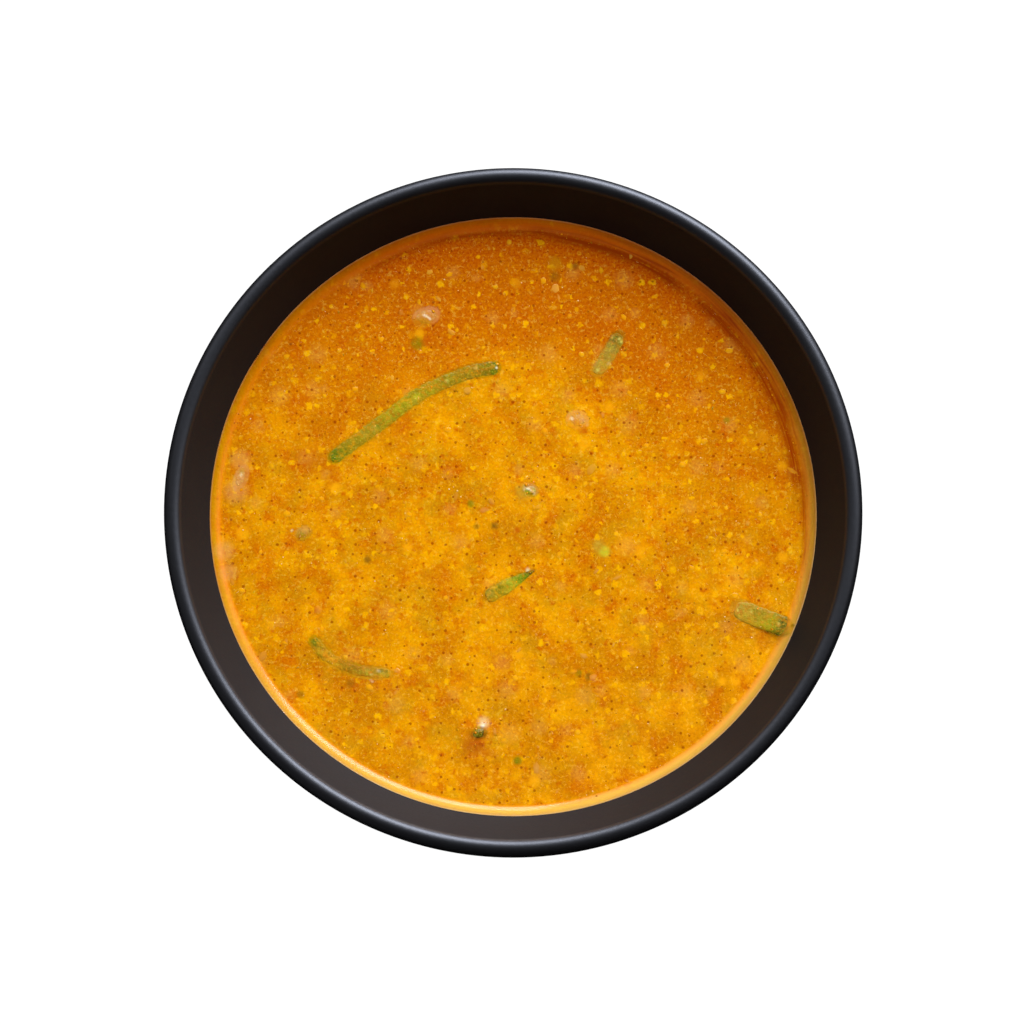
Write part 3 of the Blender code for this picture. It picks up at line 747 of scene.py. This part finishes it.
def sambarGravy():
    # boiled lentil gravy with turmeric and chilli: orange-yellow, cloudy and pulpy, lit a millimetre deep
    material, tree, shader, place = startMaterial(
        "sambarGravy", IOR=1.36, Roughness=0.16, Subsurface_Weight=0.4, Subsurface_Scale=0.45 * mm,
        Subsurface_Radius=(1.0, 0.45, 0.12))
    flat = addNode(tree, "VectorMath", {0: place, 1: (1, 1, 0)}, operation="MULTIPLY")
    drift = addNode(tree, "TexNoise", {"Vector": flat, "Scale": per(1.3)}, "Color", noise_dimensions="2D")
    drift = addNode(tree, "VectorMath", {0: drift, 1: (0.5, 0.5, 0.5)}, operation="SUBTRACT")
    warped = addNode(tree, "VectorMath", {0: drift, 1: (1.6 * mm,) * 3, 2: flat}, operation="MULTIPLY_ADD")
    colour = gravyColour(tree, place)
    # partly painted shade: redder and darker towards the far side, where the rim's shadow falls, and most of
    # all at the wall there
    reddenAndShade = addNode(tree, "Attribute", {}, "Fac", attribute_name="reddenAndShade")
    colour = layer(tree, colour, reddenAndShade, 0.88, "C05400")
    edgeRedAndShade = addNode(tree, "Attribute", {}, "Fac", attribute_name="edgeRedAndShade")
    colour = layer(tree, colour, edgeRedAndShade, 0.85, "CA4C00")
    peel = softSpots(tree, warped, 9.0, (3.0, 7.0), 0.45, 0.9)[0]
    colour = layer(tree, colour, peel, 0.4, "DC983C")
    chilli = softSpots(tree, warped, 3.2, (0.7, 2.2), 0.5, 0.8)[0]
    colour = layer(tree, colour, chilli, 0.6, "C45000")
    dal, tone = softSpots(tree, warped, 3.4, (0.8, 2.2), 0.5, 0.6)
    strength = addNode(tree, "MapRange", {0: tone, "To Min": 0.2, "To Max": 0.95})
    colour = layer(tree, colour, dal, strength, "F8B800")
    grain = softSpots(tree, warped, 1.25, (0.5, 1.1), 0.5, 0.7)[0]
    colour = layer(tree, colour, grain, 0.25, "FCBA00")
    fine = addNode(tree, "TexNoise", {"Vector": flat, "Scale": per(0.6), "Detail": 3.0, "Roughness": 0.6})
    mottle = addNode(tree, "ValToRGB", {0: fine}, stops=[
        (0.36, "8C3C00"), (0.5, "E09400"), (0.64, "FFC400")])
    colour = addNode(tree, "Mix", {0: 0.16, 6: colour, 7: mottle}, 2, data_type="RGBA")
    curl = addNode(tree, "TexNoise", {"Vector": warped, "Scale": per(1.2), "Detail": 1.0})
    curl = addNode(tree, "Math", {0: curl, 1: 0.5, 2: 0.05}, operation="COMPARE")
    patchy = addNode(tree, "TexNoise", {"Vector": flat, "Scale": per(1.1), "Detail": 2.0})
    patchy = addNode(tree, "MapRange", {0: patchy, "From Min": 0.5, "From Max": 0.62, "To Max": 0.24})
    colour = layer(tree, colour, curl, patchy, "FFD84C")  # lentil skins, drawn thicker than the real 0.1 mm
    speck = softSpots(tree, flat, 2.6, (0.4, 1.0), 0.45, 0.6)[0]
    colour = layer(tree, colour, speck, 0.7, "903200")
    radius = addNode(tree, "VectorMath", {0: flat}, "Value", operation="LENGTH")
    calm = addNode(tree, "MapRange", {
        0: radius, "From Min": (contactRadius - litPaleEdge["calmStart"]) * mm,
        "From Max": (contactRadius - litPaleEdge["calmEnd"]) * mm})
    colour = layer(tree, colour, calm, 0.65, "EC8C00")
    # the redder rim again, partly painted shade, stronger in the calm band at the wall
    flush = addNode(tree, "Math", {0: calm, 1: 0.6}, operation="MULTIPLY")
    colour = layer(tree, colour, edgeRedAndShade, flush, "CA4C00")
    # painted light: pale where the light falls on the soup's rise at the wall, and a bright painted line
    # along the wall
    starchAndLight = addNode(tree, "Attribute", {}, "Fac", attribute_name="starchAndLight")
    colour = layer(tree, colour, starchAndLight, 0.65, "FCBC54")
    paleLitLine = addNode(tree, "Attribute", {}, "Fac", attribute_name="paleLitLine")
    colour = layer(tree, colour, paleLitLine, 0.7, "FFD890")
    # dark red streaks and fine lines along the wall, on its shaded side
    redStreaks = addNode(tree, "Attribute", {}, "Fac", attribute_name="redStreaks")
    colour = layer(tree, colour, redStreaks, 1.0, "A83E00")
    cover = addNode(tree, "Attribute", {}, "Fac", attribute_name="cover")
    ragged = addNode(tree, "TexNoise", {"Vector": flat, "Scale": per(0.9), "Detail": 3.0, "Roughness": 0.6})
    ragged = addNode(tree, "MapRange", {
        0: ragged, "From Min": 0.3, "From Max": 0.7, "To Min": 0.75, "To Max": 1.25})
    cover = addNode(tree, "Math", {0: cover, 1: ragged}, operation="MULTIPLY", use_clamp=True)
    # the stains and the vegetables' edges under the film, with the painted highlights and painted shadow
    # that are among the stains
    under = addNode(tree, "Attribute", {}, "Color", attribute_name="under")
    colour = layer(tree, colour, cover, 1.0, under)
    tree.links.new(colour, shader.inputs["Base Color"])
    pulp = addNode(tree, "TexNoise", {"Vector": flat, "Scale": per(0.75), "Detail": 3.0, "Roughness": 0.65})
    for lump, height in ((dal, 0.5), (grain, 0.4)):
        pulp = addNode(tree, "Math", {0: lump, 1: height, 2: pulp}, operation="MULTIPLY_ADD")
    pulp = addNode(tree, "Mix", {0: calm, 2: pulp, 3: 0.5})
    normal = addNode(tree, "Bump", {"Height": pulp, "Distance": 0.018 * mm})
    tree.links.new(normal, shader.inputs["Normal"])
    return material


soupVerts, soupFaces = soupMesh()
soupFields = edgeFields(soupVerts[:, 0], soupVerts[:, 1])
soupFields["under"], soupFields["cover"] = underColour(soupVerts[:, 0], soupVerts[:, 1])
newPiece("sambar_gravy", soupVerts * mm, soupFaces, sambarGravy(), "sambar", ["sambar"], soupFields)
print("soup:", len(soupFaces), "faces")


def setHeight(spec, crown, height, up, size=1.0):
    # a piece's own height, from -1 to 1, set so that it floats with a low crown out of the soup
    below = height - crown
    return soupLevel + spec["shown"] - crown * size + up * (crown if up > 0 else below)


def flatCrown(side):
    # height over a piece's width, from 1 at the middle to 0 at the edges, flattened as by a knife
    return (1 - np.abs(side) ** vegetableShape["flatness"]) ** (1 / vegetableShape["flatness"])


def tubePiece(name):
    # a strip of vegetable along its route, pressed flat, with uneven skin
    spec = strips[name]
    sides = vegetableShape["sides"]
    route = smoothRoute(spec["route"], 24)
    reach = reachAlong(route)
    length = reach[-1]
    first, last = spec["ends"]
    closing = 1 - np.cos(np.linspace(0, math.pi / 2, 9))
    rowCount = max(6, round((length - first - last) / vegetableShape["rowStep"]))
    body = np.linspace(first, length - last, rowCount)
    stops = np.concatenate([closing * first, body[1:-1], length - closing[::-1] * last])
    centre = np.column_stack([np.interp(stops, reach, route[:, i]) for i in (0, 1)])
    heading = np.gradient(centre, axis=0)
    heading /= np.linalg.norm(heading, axis=1)[:, None]
    radius = thickness(spec, stops, length)
    lift = liftAt(spec, stops / length)
    verts = []
    for point, ahead, size, raised in zip(centre, heading, radius, lift):
        across = np.array([-ahead[1], ahead[0]])
        for k in range(sides):
            angle = k * turn / sides
            spot = (*(point + across * math.cos(angle)), angle * 0.5)
            rough = 1 + vegetableShape["rough"] * noise.noise([c * 0.9 for c in spot])
            rough += vegetableShape["pits"] * noise.noise([c * 2.6 for c in spot])
            out = spec["width"] / 2 * size * rough * math.cos(angle)
            rise = flatCrown(math.cos(angle)) if math.sin(angle) > 0 else math.sin(angle)
            up = setHeight(spec, vegetableShape["crown"], spec["height"], size * rough * rise, size)
            verts.append((*(point + across * out), up + raised))
    rows = len(stops)
    faces = []
    for i in range(rows - 1):
        for k in range(sides):
            a, b = i * sides + k, i * sides + (k + 1) % sides
            faces += [(b, a, b + sides), (b + sides, a, a + sides)]
    for row, apex in ((0, len(verts)), (rows - 1, len(verts) + 1)):
        for k in range(sides):
            a, b = row * sides + k, row * sides + (k + 1) % sides
            faces.append((a, b, apex) if row == 0 else (b, a, apex))
    for end in (0, -1):
        middle = setHeight(spec, vegetableShape["crown"], spec["height"], 0, radius[end])
        verts.append((*centre[end], middle + lift[end]))
    return np.array(verts), np.array(faces)


def lumpPiece(name):
    # an uneven, rounded bit of vegetable
    spec = lumps[name]
    ball = bmesh.new()
    bmesh.ops.create_uvsphere(ball, u_segments=40, v_segments=24, radius=1)
    bmesh.ops.triangulate(ball, faces=ball.faces)
    heading = math.radians(spec["turn"])
    seed = Vector((*spec["at"], 0))
    verts = []
    for vert in ball.verts:
        uneven = 1 + 0.2 * noise.noise(vert.co * 1.4 + seed) + 0.04 * noise.noise(vert.co * 5 + seed)
        x, y = vert.co.x * spec["size"][0] / 2 * uneven, vert.co.y * spec["size"][1] / 2 * uneven
        verts.append((
            spec["at"][0] + x * math.cos(heading) - y * math.sin(heading),
            spec["at"][1] + x * math.sin(heading) + y * math.cos(heading),
            setHeight(spec, spec["crown"], spec["size"][2], vert.co.z)))
    faces = [[vert.index for vert in face.verts] for face in ball.faces]
    ball.free()
    return np.array(verts), np.array(faces)


def cookedVegetable(name, film, shine, mottle, veil=0.4, shoreline=0.3, gloss=0.5):
    # boiled skin or flesh: waxy and wet, its own paint mottled, and smeared with gravy here and there
    material, tree, shader, place = startMaterial(
        name, IOR=1.4, Roughness=shine, Specular_IOR_Level=gloss, Subsurface_Weight=0.4,
        Subsurface_Scale=0.6 * mm, Subsurface_Radius=(1.0, 0.8, 0.3))
    colour = addNode(tree, "Attribute", {}, "Color", attribute_name="paint")

    def patches(size, detail, low, high):
        grain = addNode(tree, "TexNoise", {
            "Vector": place, "Scale": per(size), "Detail": detail, "Roughness": 0.62})
        return addNode(tree, "MapRange", {0: grain, "From Min": low, "From Max": high})

    colour = layer(tree, colour, patches(1.5, 4.0, 0.44, 0.58), mottle, "566204")
    colour = layer(tree, colour, patches(1.1, 4.0, 0.5, 0.62), mottle, "B8A81A")
    colour = layer(tree, colour, patches(0.45, 2.0, 0.56, 0.66), 0.32, "DCC838")
    out = addNode(tree, "Attribute", {}, "Fac", attribute_name="out")
    shore = addNode(tree, "MapRange", {0: out, "From Min": shoreline, "From Max": 0.0, "To Max": veil})
    smear = addNode(tree, "Math", {0: patches(1.0, 4.0, 0.46, 0.62), 1: film}, operation="MULTIPLY")
    cover = addNode(tree, "Math", {0: smear, 1: shore}, operation="MAXIMUM")
    gravy = gravyColour(tree, place)
    colour = layer(tree, colour, cover, 1.0, gravy)
    tree.links.new(colour, shader.inputs["Base Color"])
    normal = addNode(tree, "Bump", {"Height": patches(0.7, 3.0, 0.3, 0.7), "Distance": 0.08 * mm})
    tree.links.new(normal, shader.inputs["Normal"])
    return material


# boiled green chilli: waxy skin gone olive, with a wet gloss
chilliSkin = cookedVegetable("chilliSkin", film=0.5, shine=0.3, mottle=0.3, gloss=0.28)
# a sliver sunk in the gravy: its edges clouded over and nearly no gloss
sunkChilli = cookedVegetable(
    "sunkChilli", film=0.65, shine=0.5, mottle=0.5, veil=0.7, shoreline=1.0, gloss=0.2)
# boiled bean: matt green-brown skin, half under the gravy
beanSkin = cookedVegetable(
    "beanSkin", film=0.5, shine=0.42, mottle=0.25, veil=0.7, shoreline=0.8, gloss=0.3)
# boiled onion: slippery, translucent pink flesh with sharp glints
boiledOnion = cookedVegetable("boiledOnion", film=0.55, shine=0.14, mottle=0.05)
# soaked peppercorn: dark, hard and shiny with broth
wetPeppercorn = cookedVegetable("wetPeppercorn", film=0.1, shine=0.16, mottle=0.2)
finishes = {
    "green_chilli_strip": ("green_chilli", chilliSkin), "chilli_sliver": ("green_chilli", sunkChilli),
    "chilli_tip": ("green_chilli", chilliSkin), "chilli_bit": ("green_chilli", chilliSkin),
    "bean_piece": ("green_bean", beanSkin), "bean_end": ("green_bean", beanSkin),
    "leaf_bit": ("green_bean", beanSkin), "onion_piece_far": ("onion", boiledOnion),
    "onion_piece_middle": ("onion", boiledOnion), "onion_piece_left": ("onion", boiledOnion),
    "peppercorn": ("peppercorn", wetPeppercorn),
}
for name, (slot, finish) in finishes.items():
    verts, faces = tubePiece(name) if name in strips else lumpPiece(name)
    x, y = verts[:, 0], verts[:, 1]
    along, side, gap = locate(name, x, y)
    proud = np.clip((verts[:, 2] - soupTop(x, y)) / 0.1, 0, 1)
    newPiece("dressed_" + name, verts * mm, faces, finish, slot, [name],
             {"paint": paint(name, along, side, x, y), "out": proud})
print("vegetables:", len(finishes))


# the bits in the soup are small closed meshes, each kind joined into one piece
def crumbTemplate(detail, uneven, seed):
    # an uneven crumb, one unit across
    ball = bmesh.new()
    bmesh.ops.create_icosphere(ball, subdivisions=detail, radius=0.5)
    rng = random.Random(seed)
    verts = np.array([vert.co * (1 + uneven * rng.uniform(-1, 1)) for vert in ball.verts])
    faces = np.array([[vert.index for vert in face.verts] for face in ball.faces])
    ball.free()
    return verts, faces


def shredTemplate(bend, seed):
    # a short bent fibre one unit long, three-sided, thin at the ends
    rng = random.Random(seed)
    verts, faces = [], []
    rows = 5
    for i in range(rows):
        share = i / (rows - 1) - 0.5
        thick = 0.17 * math.cos(share * 2.4) ** 0.5
        side = bend * (share**2 - 0.08) * 4
        for k in range(3):
            angle = k * turn / 3 + math.pi / 2 + rng.uniform(-0.3, 0.3)
            verts.append((share, side + thick * math.cos(angle), thick * math.sin(angle)))
    for i in range(rows - 1):
        for k in range(3):
            a, b = i * 3 + k, i * 3 + (k + 1) % 3
            faces += [(a, a + 3, b + 3), (a, b + 3, b)]
    last = (rows - 1) * 3
    faces += [(0, 1, 2), (last, last + 2, last + 1)]
    return np.array(verts), np.array(faces)


def surfaceTop(x, y):
    # the height that a bit lies on: the soup, or the top of a vegetable there
    height = soupTop(x, y)
    for name, spec, near, along, side, gap in nearFood(x, y, 0.5):
        crown = spec.get("crown", vegetableShape["crown"])
        top = soupLevel + spec["shown"] - crown + liftAt(spec, along) + crown * flatCrown(side)
        height[near] = np.where(gap < 0, np.maximum(height[near], top), height[near])
    return height


def overFood(x, y):
    # whether each place is over a vegetable
    over = np.zeros(len(x), bool)
    for name, spec, near, along, side, gap in nearFood(x, y, 0.5):
        over[near] |= gap < 0
    return over


def spreadPlaces(spec, rng):
    # even random places over the soup, thinned out by soft clumps and over the vegetables
    x, y = np.zeros(0), np.zeros(0)
    clump = spec.get("clump", 0.3)
    while len(x) < spec["count"]:
        draw = spec["count"] * 2 + 100
        radius = (contactRadius - spec.get("edge", 2.6)) * np.sqrt(rng.random(draw))
        angle = rng.random(draw) * turn
        px, py = radius * np.cos(angle), radius * np.sin(angle)
        keep = rng.random(draw) < 1 - clump * 0.5 + clump * 2 * fieldNoise(px, py, 9, spec["seed"] + 0.5)
        keep &= ~overFood(px, py) | (rng.random(draw) < spec.get("onFood", 0.35))
        x, y = np.concatenate([x, px[keep]]), np.concatenate([y, py[keep]])
    return x[:spec["count"]], y[:spec["count"]]


def addBits(name, spec, places=None, replaced=()):
    # many copies of a few templates, each turned, stretched and set into the surface
    material = wetBit(spec)
    rng = np.random.default_rng(spec["seed"])
    low, high = spec["size"]
    if places is None:
        x, y = spreadPlaces(spec, rng)
        size = low * (high / low) ** (rng.random(len(x)) ** spec.get("skew", 1.6))
    else:
        x, y, size = places
    count = len(x)
    stretch = rng.uniform(*spec.get("stretch", (1.0, 1.5)), count)
    height = size * rng.uniform(*spec["flat"], count)
    proud = height * rng.uniform(*spec["proud"], count)
    heading = rng.random(count) * turn
    ground = surfaceTop(x, y)
    tone = rng.random(count)
    verts, faces, tones, outs, total = [], [], [], [], 0
    kinds = spec["templates"]
    for index, (shape, corners) in enumerate(kinds):
        picked = np.arange(count) % len(kinds) == index
        number = picked.sum()
        scale = np.column_stack([size * stretch, size / np.sqrt(stretch), height])[picked]
        local = shape[None] * scale[:, None]
        c, s = np.cos(heading[picked])[:, None], np.sin(heading[picked])[:, None]
        wx = x[picked][:, None] + local[..., 0] * c - local[..., 1] * s
        wy = y[picked][:, None] + local[..., 0] * s + local[..., 1] * c
        top = shape[:, 2].max() * height[picked]
        above = local[..., 2] + (proud[picked] - top)[:, None]
        verts.append(np.stack([wx, wy, ground[picked][:, None] + above], -1).reshape(-1, 3))
        step = len(shape)
        faces.append((corners[None] + (np.arange(number) * step)[:, None, None]).reshape(-1, 3) + total)
        tones.append(np.repeat(tone[picked], step))
        outs.append(np.clip(above / proud[picked][:, None], 0, 1).ravel())
        total += number * step
    verts, faces = np.concatenate(verts), np.concatenate(faces)
    fields = {"tone": np.concatenate(tones), "out": np.concatenate(outs)}
    newPiece(name, verts * mm, faces, material, "sambar", replaced, fields)
    print(name + ":", count, "bits,", len(faces), "faces")


def wetBit(spec):
    # a boiled grain or spice bit, coated at its foot by the gravy that it lies in
    material, tree, shader, place = startMaterial(spec["finish"], IOR=1.38, Roughness=spec["shine"])
    tone = addNode(tree, "Attribute", {}, "Fac", attribute_name="tone")
    speckle = addNode(tree, "TexNoise", {"Vector": place, "Scale": per(0.5)})
    both = addNode(tree, "Math", {0: speckle, 1: 0.5, 2: tone}, operation="MULTIPLY_ADD")
    both = addNode(tree, "Math", {0: both, 1: 0.25}, operation="SUBTRACT")
    own = addNode(tree, "ValToRGB", {0: both}, stops=spec["stops"])
    out = addNode(tree, "Attribute", {}, "Fac", attribute_name="out")
    dry = addNode(tree, "MapRange", {0: out, "From Max": spec["reach"], "To Max": spec["strength"]})
    colour = layer(tree, gravyColour(tree, place), dry, 1.0, own)
    tree.links.new(colour, shader.inputs["Base Color"])
    return material


def lentilPlaces():
    # the same spiral of larger grains as in the solids, where they keep clear of the vegetables
    rng = random.Random(lentils["spiralSeed"])
    golden = math.pi * (3 - math.sqrt(5))
    places = []
    for i in range(lentils["spiralCount"]):
        radius = lentils["field"] * math.sqrt((i + 0.5) / lentils["spiralCount"])
        x = radius * math.cos(i * golden) + rng.uniform(-1, 1) * lentils["jitter"]
        y = radius * math.sin(i * golden) + rng.uniform(-1, 1) * lentils["jitter"]
        size = rng.uniform(*lentils["size"])
        rng.uniform(0, math.pi)  # the solids' grain is turned here
        if math.hypot(x, y) < lentils["field"]:
            places.append((x, y, size))
    x, y, size = np.array(places).T
    clear = ~overFood(x, y)
    return x[clear], y[clear], size[clear]


crumbs = [crumbTemplate(detail=1, uneven=0.22, seed=seed) for seed in range(4)]
seeds = [crumbTemplate(detail=1, uneven=0.1, seed=seed) for seed in range(4)]
roundCrumbs = [crumbTemplate(detail=2, uneven=0.07, seed=seed) for seed in range(3)]
shreds = [shredTemplate(bend, seed) for seed, bend in enumerate((0.05, 0.35, -0.3, 0.6))]

# split lentils: soft, opaque yellow halves, coated in gravy
lentils = {
    "seed": 21, "spiralSeed": 11, "spiralCount": 115, "field": 65.5, "jitter": 2.2, "size": (1.5, 2.7),
    "stretch": (1.0, 1.3), "flat": (0.3, 0.4), "proud": (0.06, 0.1), "templates": roundCrumbs,
    "finish": "boiledDal", "shine": 0.18, "strength": 0.8, "reach": 1.0,
    "stops": [(0.0, "EC9C06"), (0.5, "F4AA06"), (1.0, "FAB80C")]}
# the other kinds of bits: sizes in mm, and colour stops over a tone from 0 to 1 that differs by bit
bits = {
    # crumbs of lentil, the same but smaller
    "dal_crumbs": {
        "seed": 22, "count": 2600, "size": (0.4, 1.6), "skew": 1.8, "flat": (0.2, 0.35),
        "proud": (0.03, 0.07), "templates": seeds, "clump": 0.4, "onFood": 0.6,
        "finish": "dalCrumb", "shine": 0.2, "strength": 0.75, "reach": 0.9,
        "stops": [(0.0, "E89200"), (0.5, "F8A800"), (1.0, "FFBC18")]},
    # grated coconut: short pale curls
    "pale_shreds": {
        "seed": 23, "count": 3800, "size": (0.35, 0.95), "skew": 1.8, "flat": (0.2, 0.35),
        "proud": (0.03, 0.08), "templates": shreds, "stretch": (1.0, 1.3), "clump": 0.5, "onFood": 1.0,
        "finish": "coconutShred", "shine": 0.2, "strength": 0.7, "reach": 0.7,
        "stops": [(0.0, "F09C08"), (0.6, "F8B42C"), (1.0, "FFDC98")]},
    # ground dried chilli: dull dark red flakes
    "chilli_specks": {
        "seed": 24, "count": 1500, "size": (0.25, 0.85), "skew": 1.7, "flat": (0.2, 0.35),
        "proud": (0.04, 0.09), "templates": seeds, "stretch": (1.0, 1.25), "clump": 0.5, "edge": 1.6,
        "onFood": 0.1, "finish": "chilliSpeck", "shine": 0.25, "strength": 0.9, "reach": 0.9,
        "stops": [(0.0, "742200"), (0.5, "983800"), (1.0, "BC5200")]},
    # soaked chilli flesh: flat and soft orange-red
    "chilli_flesh": {
        "seed": 25, "count": 320, "size": (0.7, 2.2), "skew": 1.7, "flat": (0.1, 0.18),
        "proud": (0.02, 0.05), "templates": crumbs, "clump": 0.8, "onFood": 0.1,
        "finish": "chilliFlesh", "shine": 0.2, "strength": 0.7, "reach": 1.0,
        "stops": [(0.0, "C45000"), (0.6, "D26402"), (1.0, "DC7804")]},
    # cracked mustard seed and spice: hard brown bits
    "cracked_spice": {
        "seed": 26, "count": 150, "size": (0.35, 1.1), "skew": 2.0, "flat": (0.25, 0.4),
        "proud": (0.05, 0.1), "templates": seeds, "stretch": (1.0, 1.3), "clump": 0.2, "onFood": 0.2,
        "finish": "crackedSpice", "shine": 0.25, "strength": 0.9, "reach": 0.9,
        "stops": [(0.0, "4A2206"), (0.5, "6A3A0A"), (1.0, "8A5A20")]},
    # boiled onion shreds: wet and translucent, just under the surface
    "soft_onion": {
        "seed": 27, "count": 90, "size": (0.9, 3.2), "skew": 1.8, "flat": (0.15, 0.25),
        "proud": (0.06, 0.12), "templates": roundCrumbs, "stretch": (1.0, 1.8), "clump": 0.4, "onFood": 0,
        "finish": "softOnion", "shine": 0.14, "strength": 0.45, "reach": 1.0,
        "stops": [(0.0, "D09034"), (0.5, "D89A46"), (1.0, "E0A85C")]},
    # chopped coriander: small olive flecks
    "green_flecks": {
        "seed": 28, "count": 60, "size": (0.35, 1.3), "skew": 2.0, "flat": (0.2, 0.4),
        "proud": (0.08, 0.15), "templates": crumbs, "stretch": (1.0, 2.0), "clump": 0.2,
        "finish": "corianderFleck", "shine": 0.22, "strength": 0.75, "reach": 0.9,
        "stops": [(0.0, "4A5A06"), (0.5, "767014"), (1.0, "9A8A28")]},
    # beads of oil: tiny domes that each hold one glint
    "oil_beads": {
        "seed": 29, "count": 420, "size": (0.2, 0.45), "skew": 1.5, "flat": (0.8, 1.0),
        "proud": (0.15, 0.25), "templates": roundCrumbs, "stretch": (1.0, 1.2), "clump": 0.5, "onFood": 1.0,
        "finish": "oilBead", "shine": 0.06, "strength": 0.8, "reach": 0.5,
        "stops": [(0.0, "F0A020"), (0.5, "F8C040"), (1.0, "FFE8B0")]},
}
addBits("dal_lentils", lentils, lentilPlaces(), ["sambar"])
for name, spec in bits.items():
    addBits(name, spec)


# floor and lights
floorReach = 6.0
corners = [(-floorReach, -floorReach, 0), (floorReach, -floorReach, 0), (floorReach, floorReach, 0),
           (-floorReach, floorReach, 0)]
floorMesh = bpy.data.meshes.new("floor")
floorMesh.from_pydata(corners, [], [(0, 1, 2, 3)])
floor = bpy.data.objects.new("floor", floorMesh)
floor.location.z = -0.05 * mm
bpy.context.scene.collection.objects.link(floor)
# white paper sweep lit from behind: matt, even and without a shadow
paperSweep = startMaterial(
    "paleSweep", Roughness=0.9, Base_Color=(0.1, 0.1, 0.1, 1), Specular_IOR_Level=0.0,
    Emission_Color=(1, 1, 1, 1), Emission_Strength=1.0)[0]
floorMesh.materials.append(paperSweep)
floor.visible_glossy = False

keyLight = {"azimuth": 71, "elevation": 29, "distance": 1500, "width": 1250, "height": 830, "power": 29.5,
            "colour": "F8FBFF"}
fillLight = {"azimuth": 290, "elevation": 66, "distance": 900, "width": 800, "height": 800, "power": 4.4,
             "colour": "FFFFFF"}
# a panel towards the key light, faded out at the zenith and the horizon, and a dim glow on the left
studioLight = {"base": 0.02, "left": 0.12, "upper": 1.62, "upperElevation": 40, "upperFloor": 0.4,
               "zenithFade": (0.85, 0.55), "horizonFade": (0.15, 0.45), "groundFade": (-0.1, 0.05),
               "ground": 0.1}


def addSoftbox(spec, name):
    # a softbox that faces the soup from its azimuth and elevation
    lightData = bpy.data.lights.new(name, "AREA")
    lightData.shape = "RECTANGLE"
    lightData.size, lightData.size_y = spec["width"] * mm, spec["height"] * mm
    lightData.energy = spec["power"]
    lightData.color = toLinear(spec["colour"])[:3]
    light = bpy.data.objects.new(name, lightData)
    azimuth, elevation = math.radians(spec["azimuth"]), math.radians(spec["elevation"])
    towards = Vector((math.cos(azimuth) * math.cos(elevation), math.sin(azimuth) * math.cos(elevation),
                      math.sin(elevation)))
    light.location = towards * spec["distance"] * mm + Vector((0, 0, soupLevel * mm))
    light.rotation_euler = towards.to_track_quat("Z", "Y").to_euler()
    bpy.context.scene.collection.objects.link(light)
    return light


addSoftbox(keyLight, "key_softbox")
addSoftbox(fillLight, "top_fill").visible_glossy = False  # or the soup would mirror it
world = bpy.data.worlds.new("studio")
world.use_nodes = True
worldTree = world.node_tree
ray = addNode(worldTree, "TexCoord", {}, "Generated")
leftward = addNode(worldTree, "VectorMath", {0: ray, 1: (-1, 0, 0)}, "Value", operation="DOT_PRODUCT")
left = addNode(worldTree, "MapRange", {
    0: leftward, "To Min": studioLight["base"], "To Max": studioLight["left"]})
height = addNode(worldTree, "SeparateXYZ", {0: ray}, "Z")
azimuth, rise = math.radians(keyLight["azimuth"]), math.radians(studioLight["upperElevation"])
towards = (math.cos(azimuth) * math.cos(rise), math.sin(azimuth) * math.cos(rise), math.sin(rise))
upper = addNode(worldTree, "VectorMath", {0: ray, 1: towards}, "Value", operation="DOT_PRODUCT")
upper = addNode(worldTree, "MapRange", {
    0: upper, "From Min": studioLight["upperFloor"], "To Max": studioLight["upper"]})
fadeStart, fadeEnd = studioLight["zenithFade"]
zenith = addNode(worldTree, "MapRange", {0: height, "From Min": fadeStart, "From Max": fadeEnd})
upper = addNode(worldTree, "Math", {0: upper, 1: zenith}, operation="MULTIPLY")
fadeStart, fadeEnd = studioLight["horizonFade"]
horizon = addNode(worldTree, "MapRange", {0: height, "From Min": fadeStart, "From Max": fadeEnd})
both = addNode(worldTree, "Math", {0: upper, 1: horizon, 2: left}, operation="MULTIPLY_ADD")
fadeStart, fadeEnd = studioLight["groundFade"]
above = addNode(worldTree, "MapRange", {
    0: height, "From Min": fadeStart, "From Max": fadeEnd, "To Min": studioLight["ground"]})
total = addNode(worldTree, "Math", {0: both, 1: above}, operation="MULTIPLY")
background = worldTree.nodes["Background"]
background.inputs["Color"].default_value = (1, 1, 1, 1)
worldTree.links.new(total, background.inputs["Strength"])
bpy.context.scene.world = world
bpy.context.scene.view_settings.view_transform = "Standard"
print("lights set")
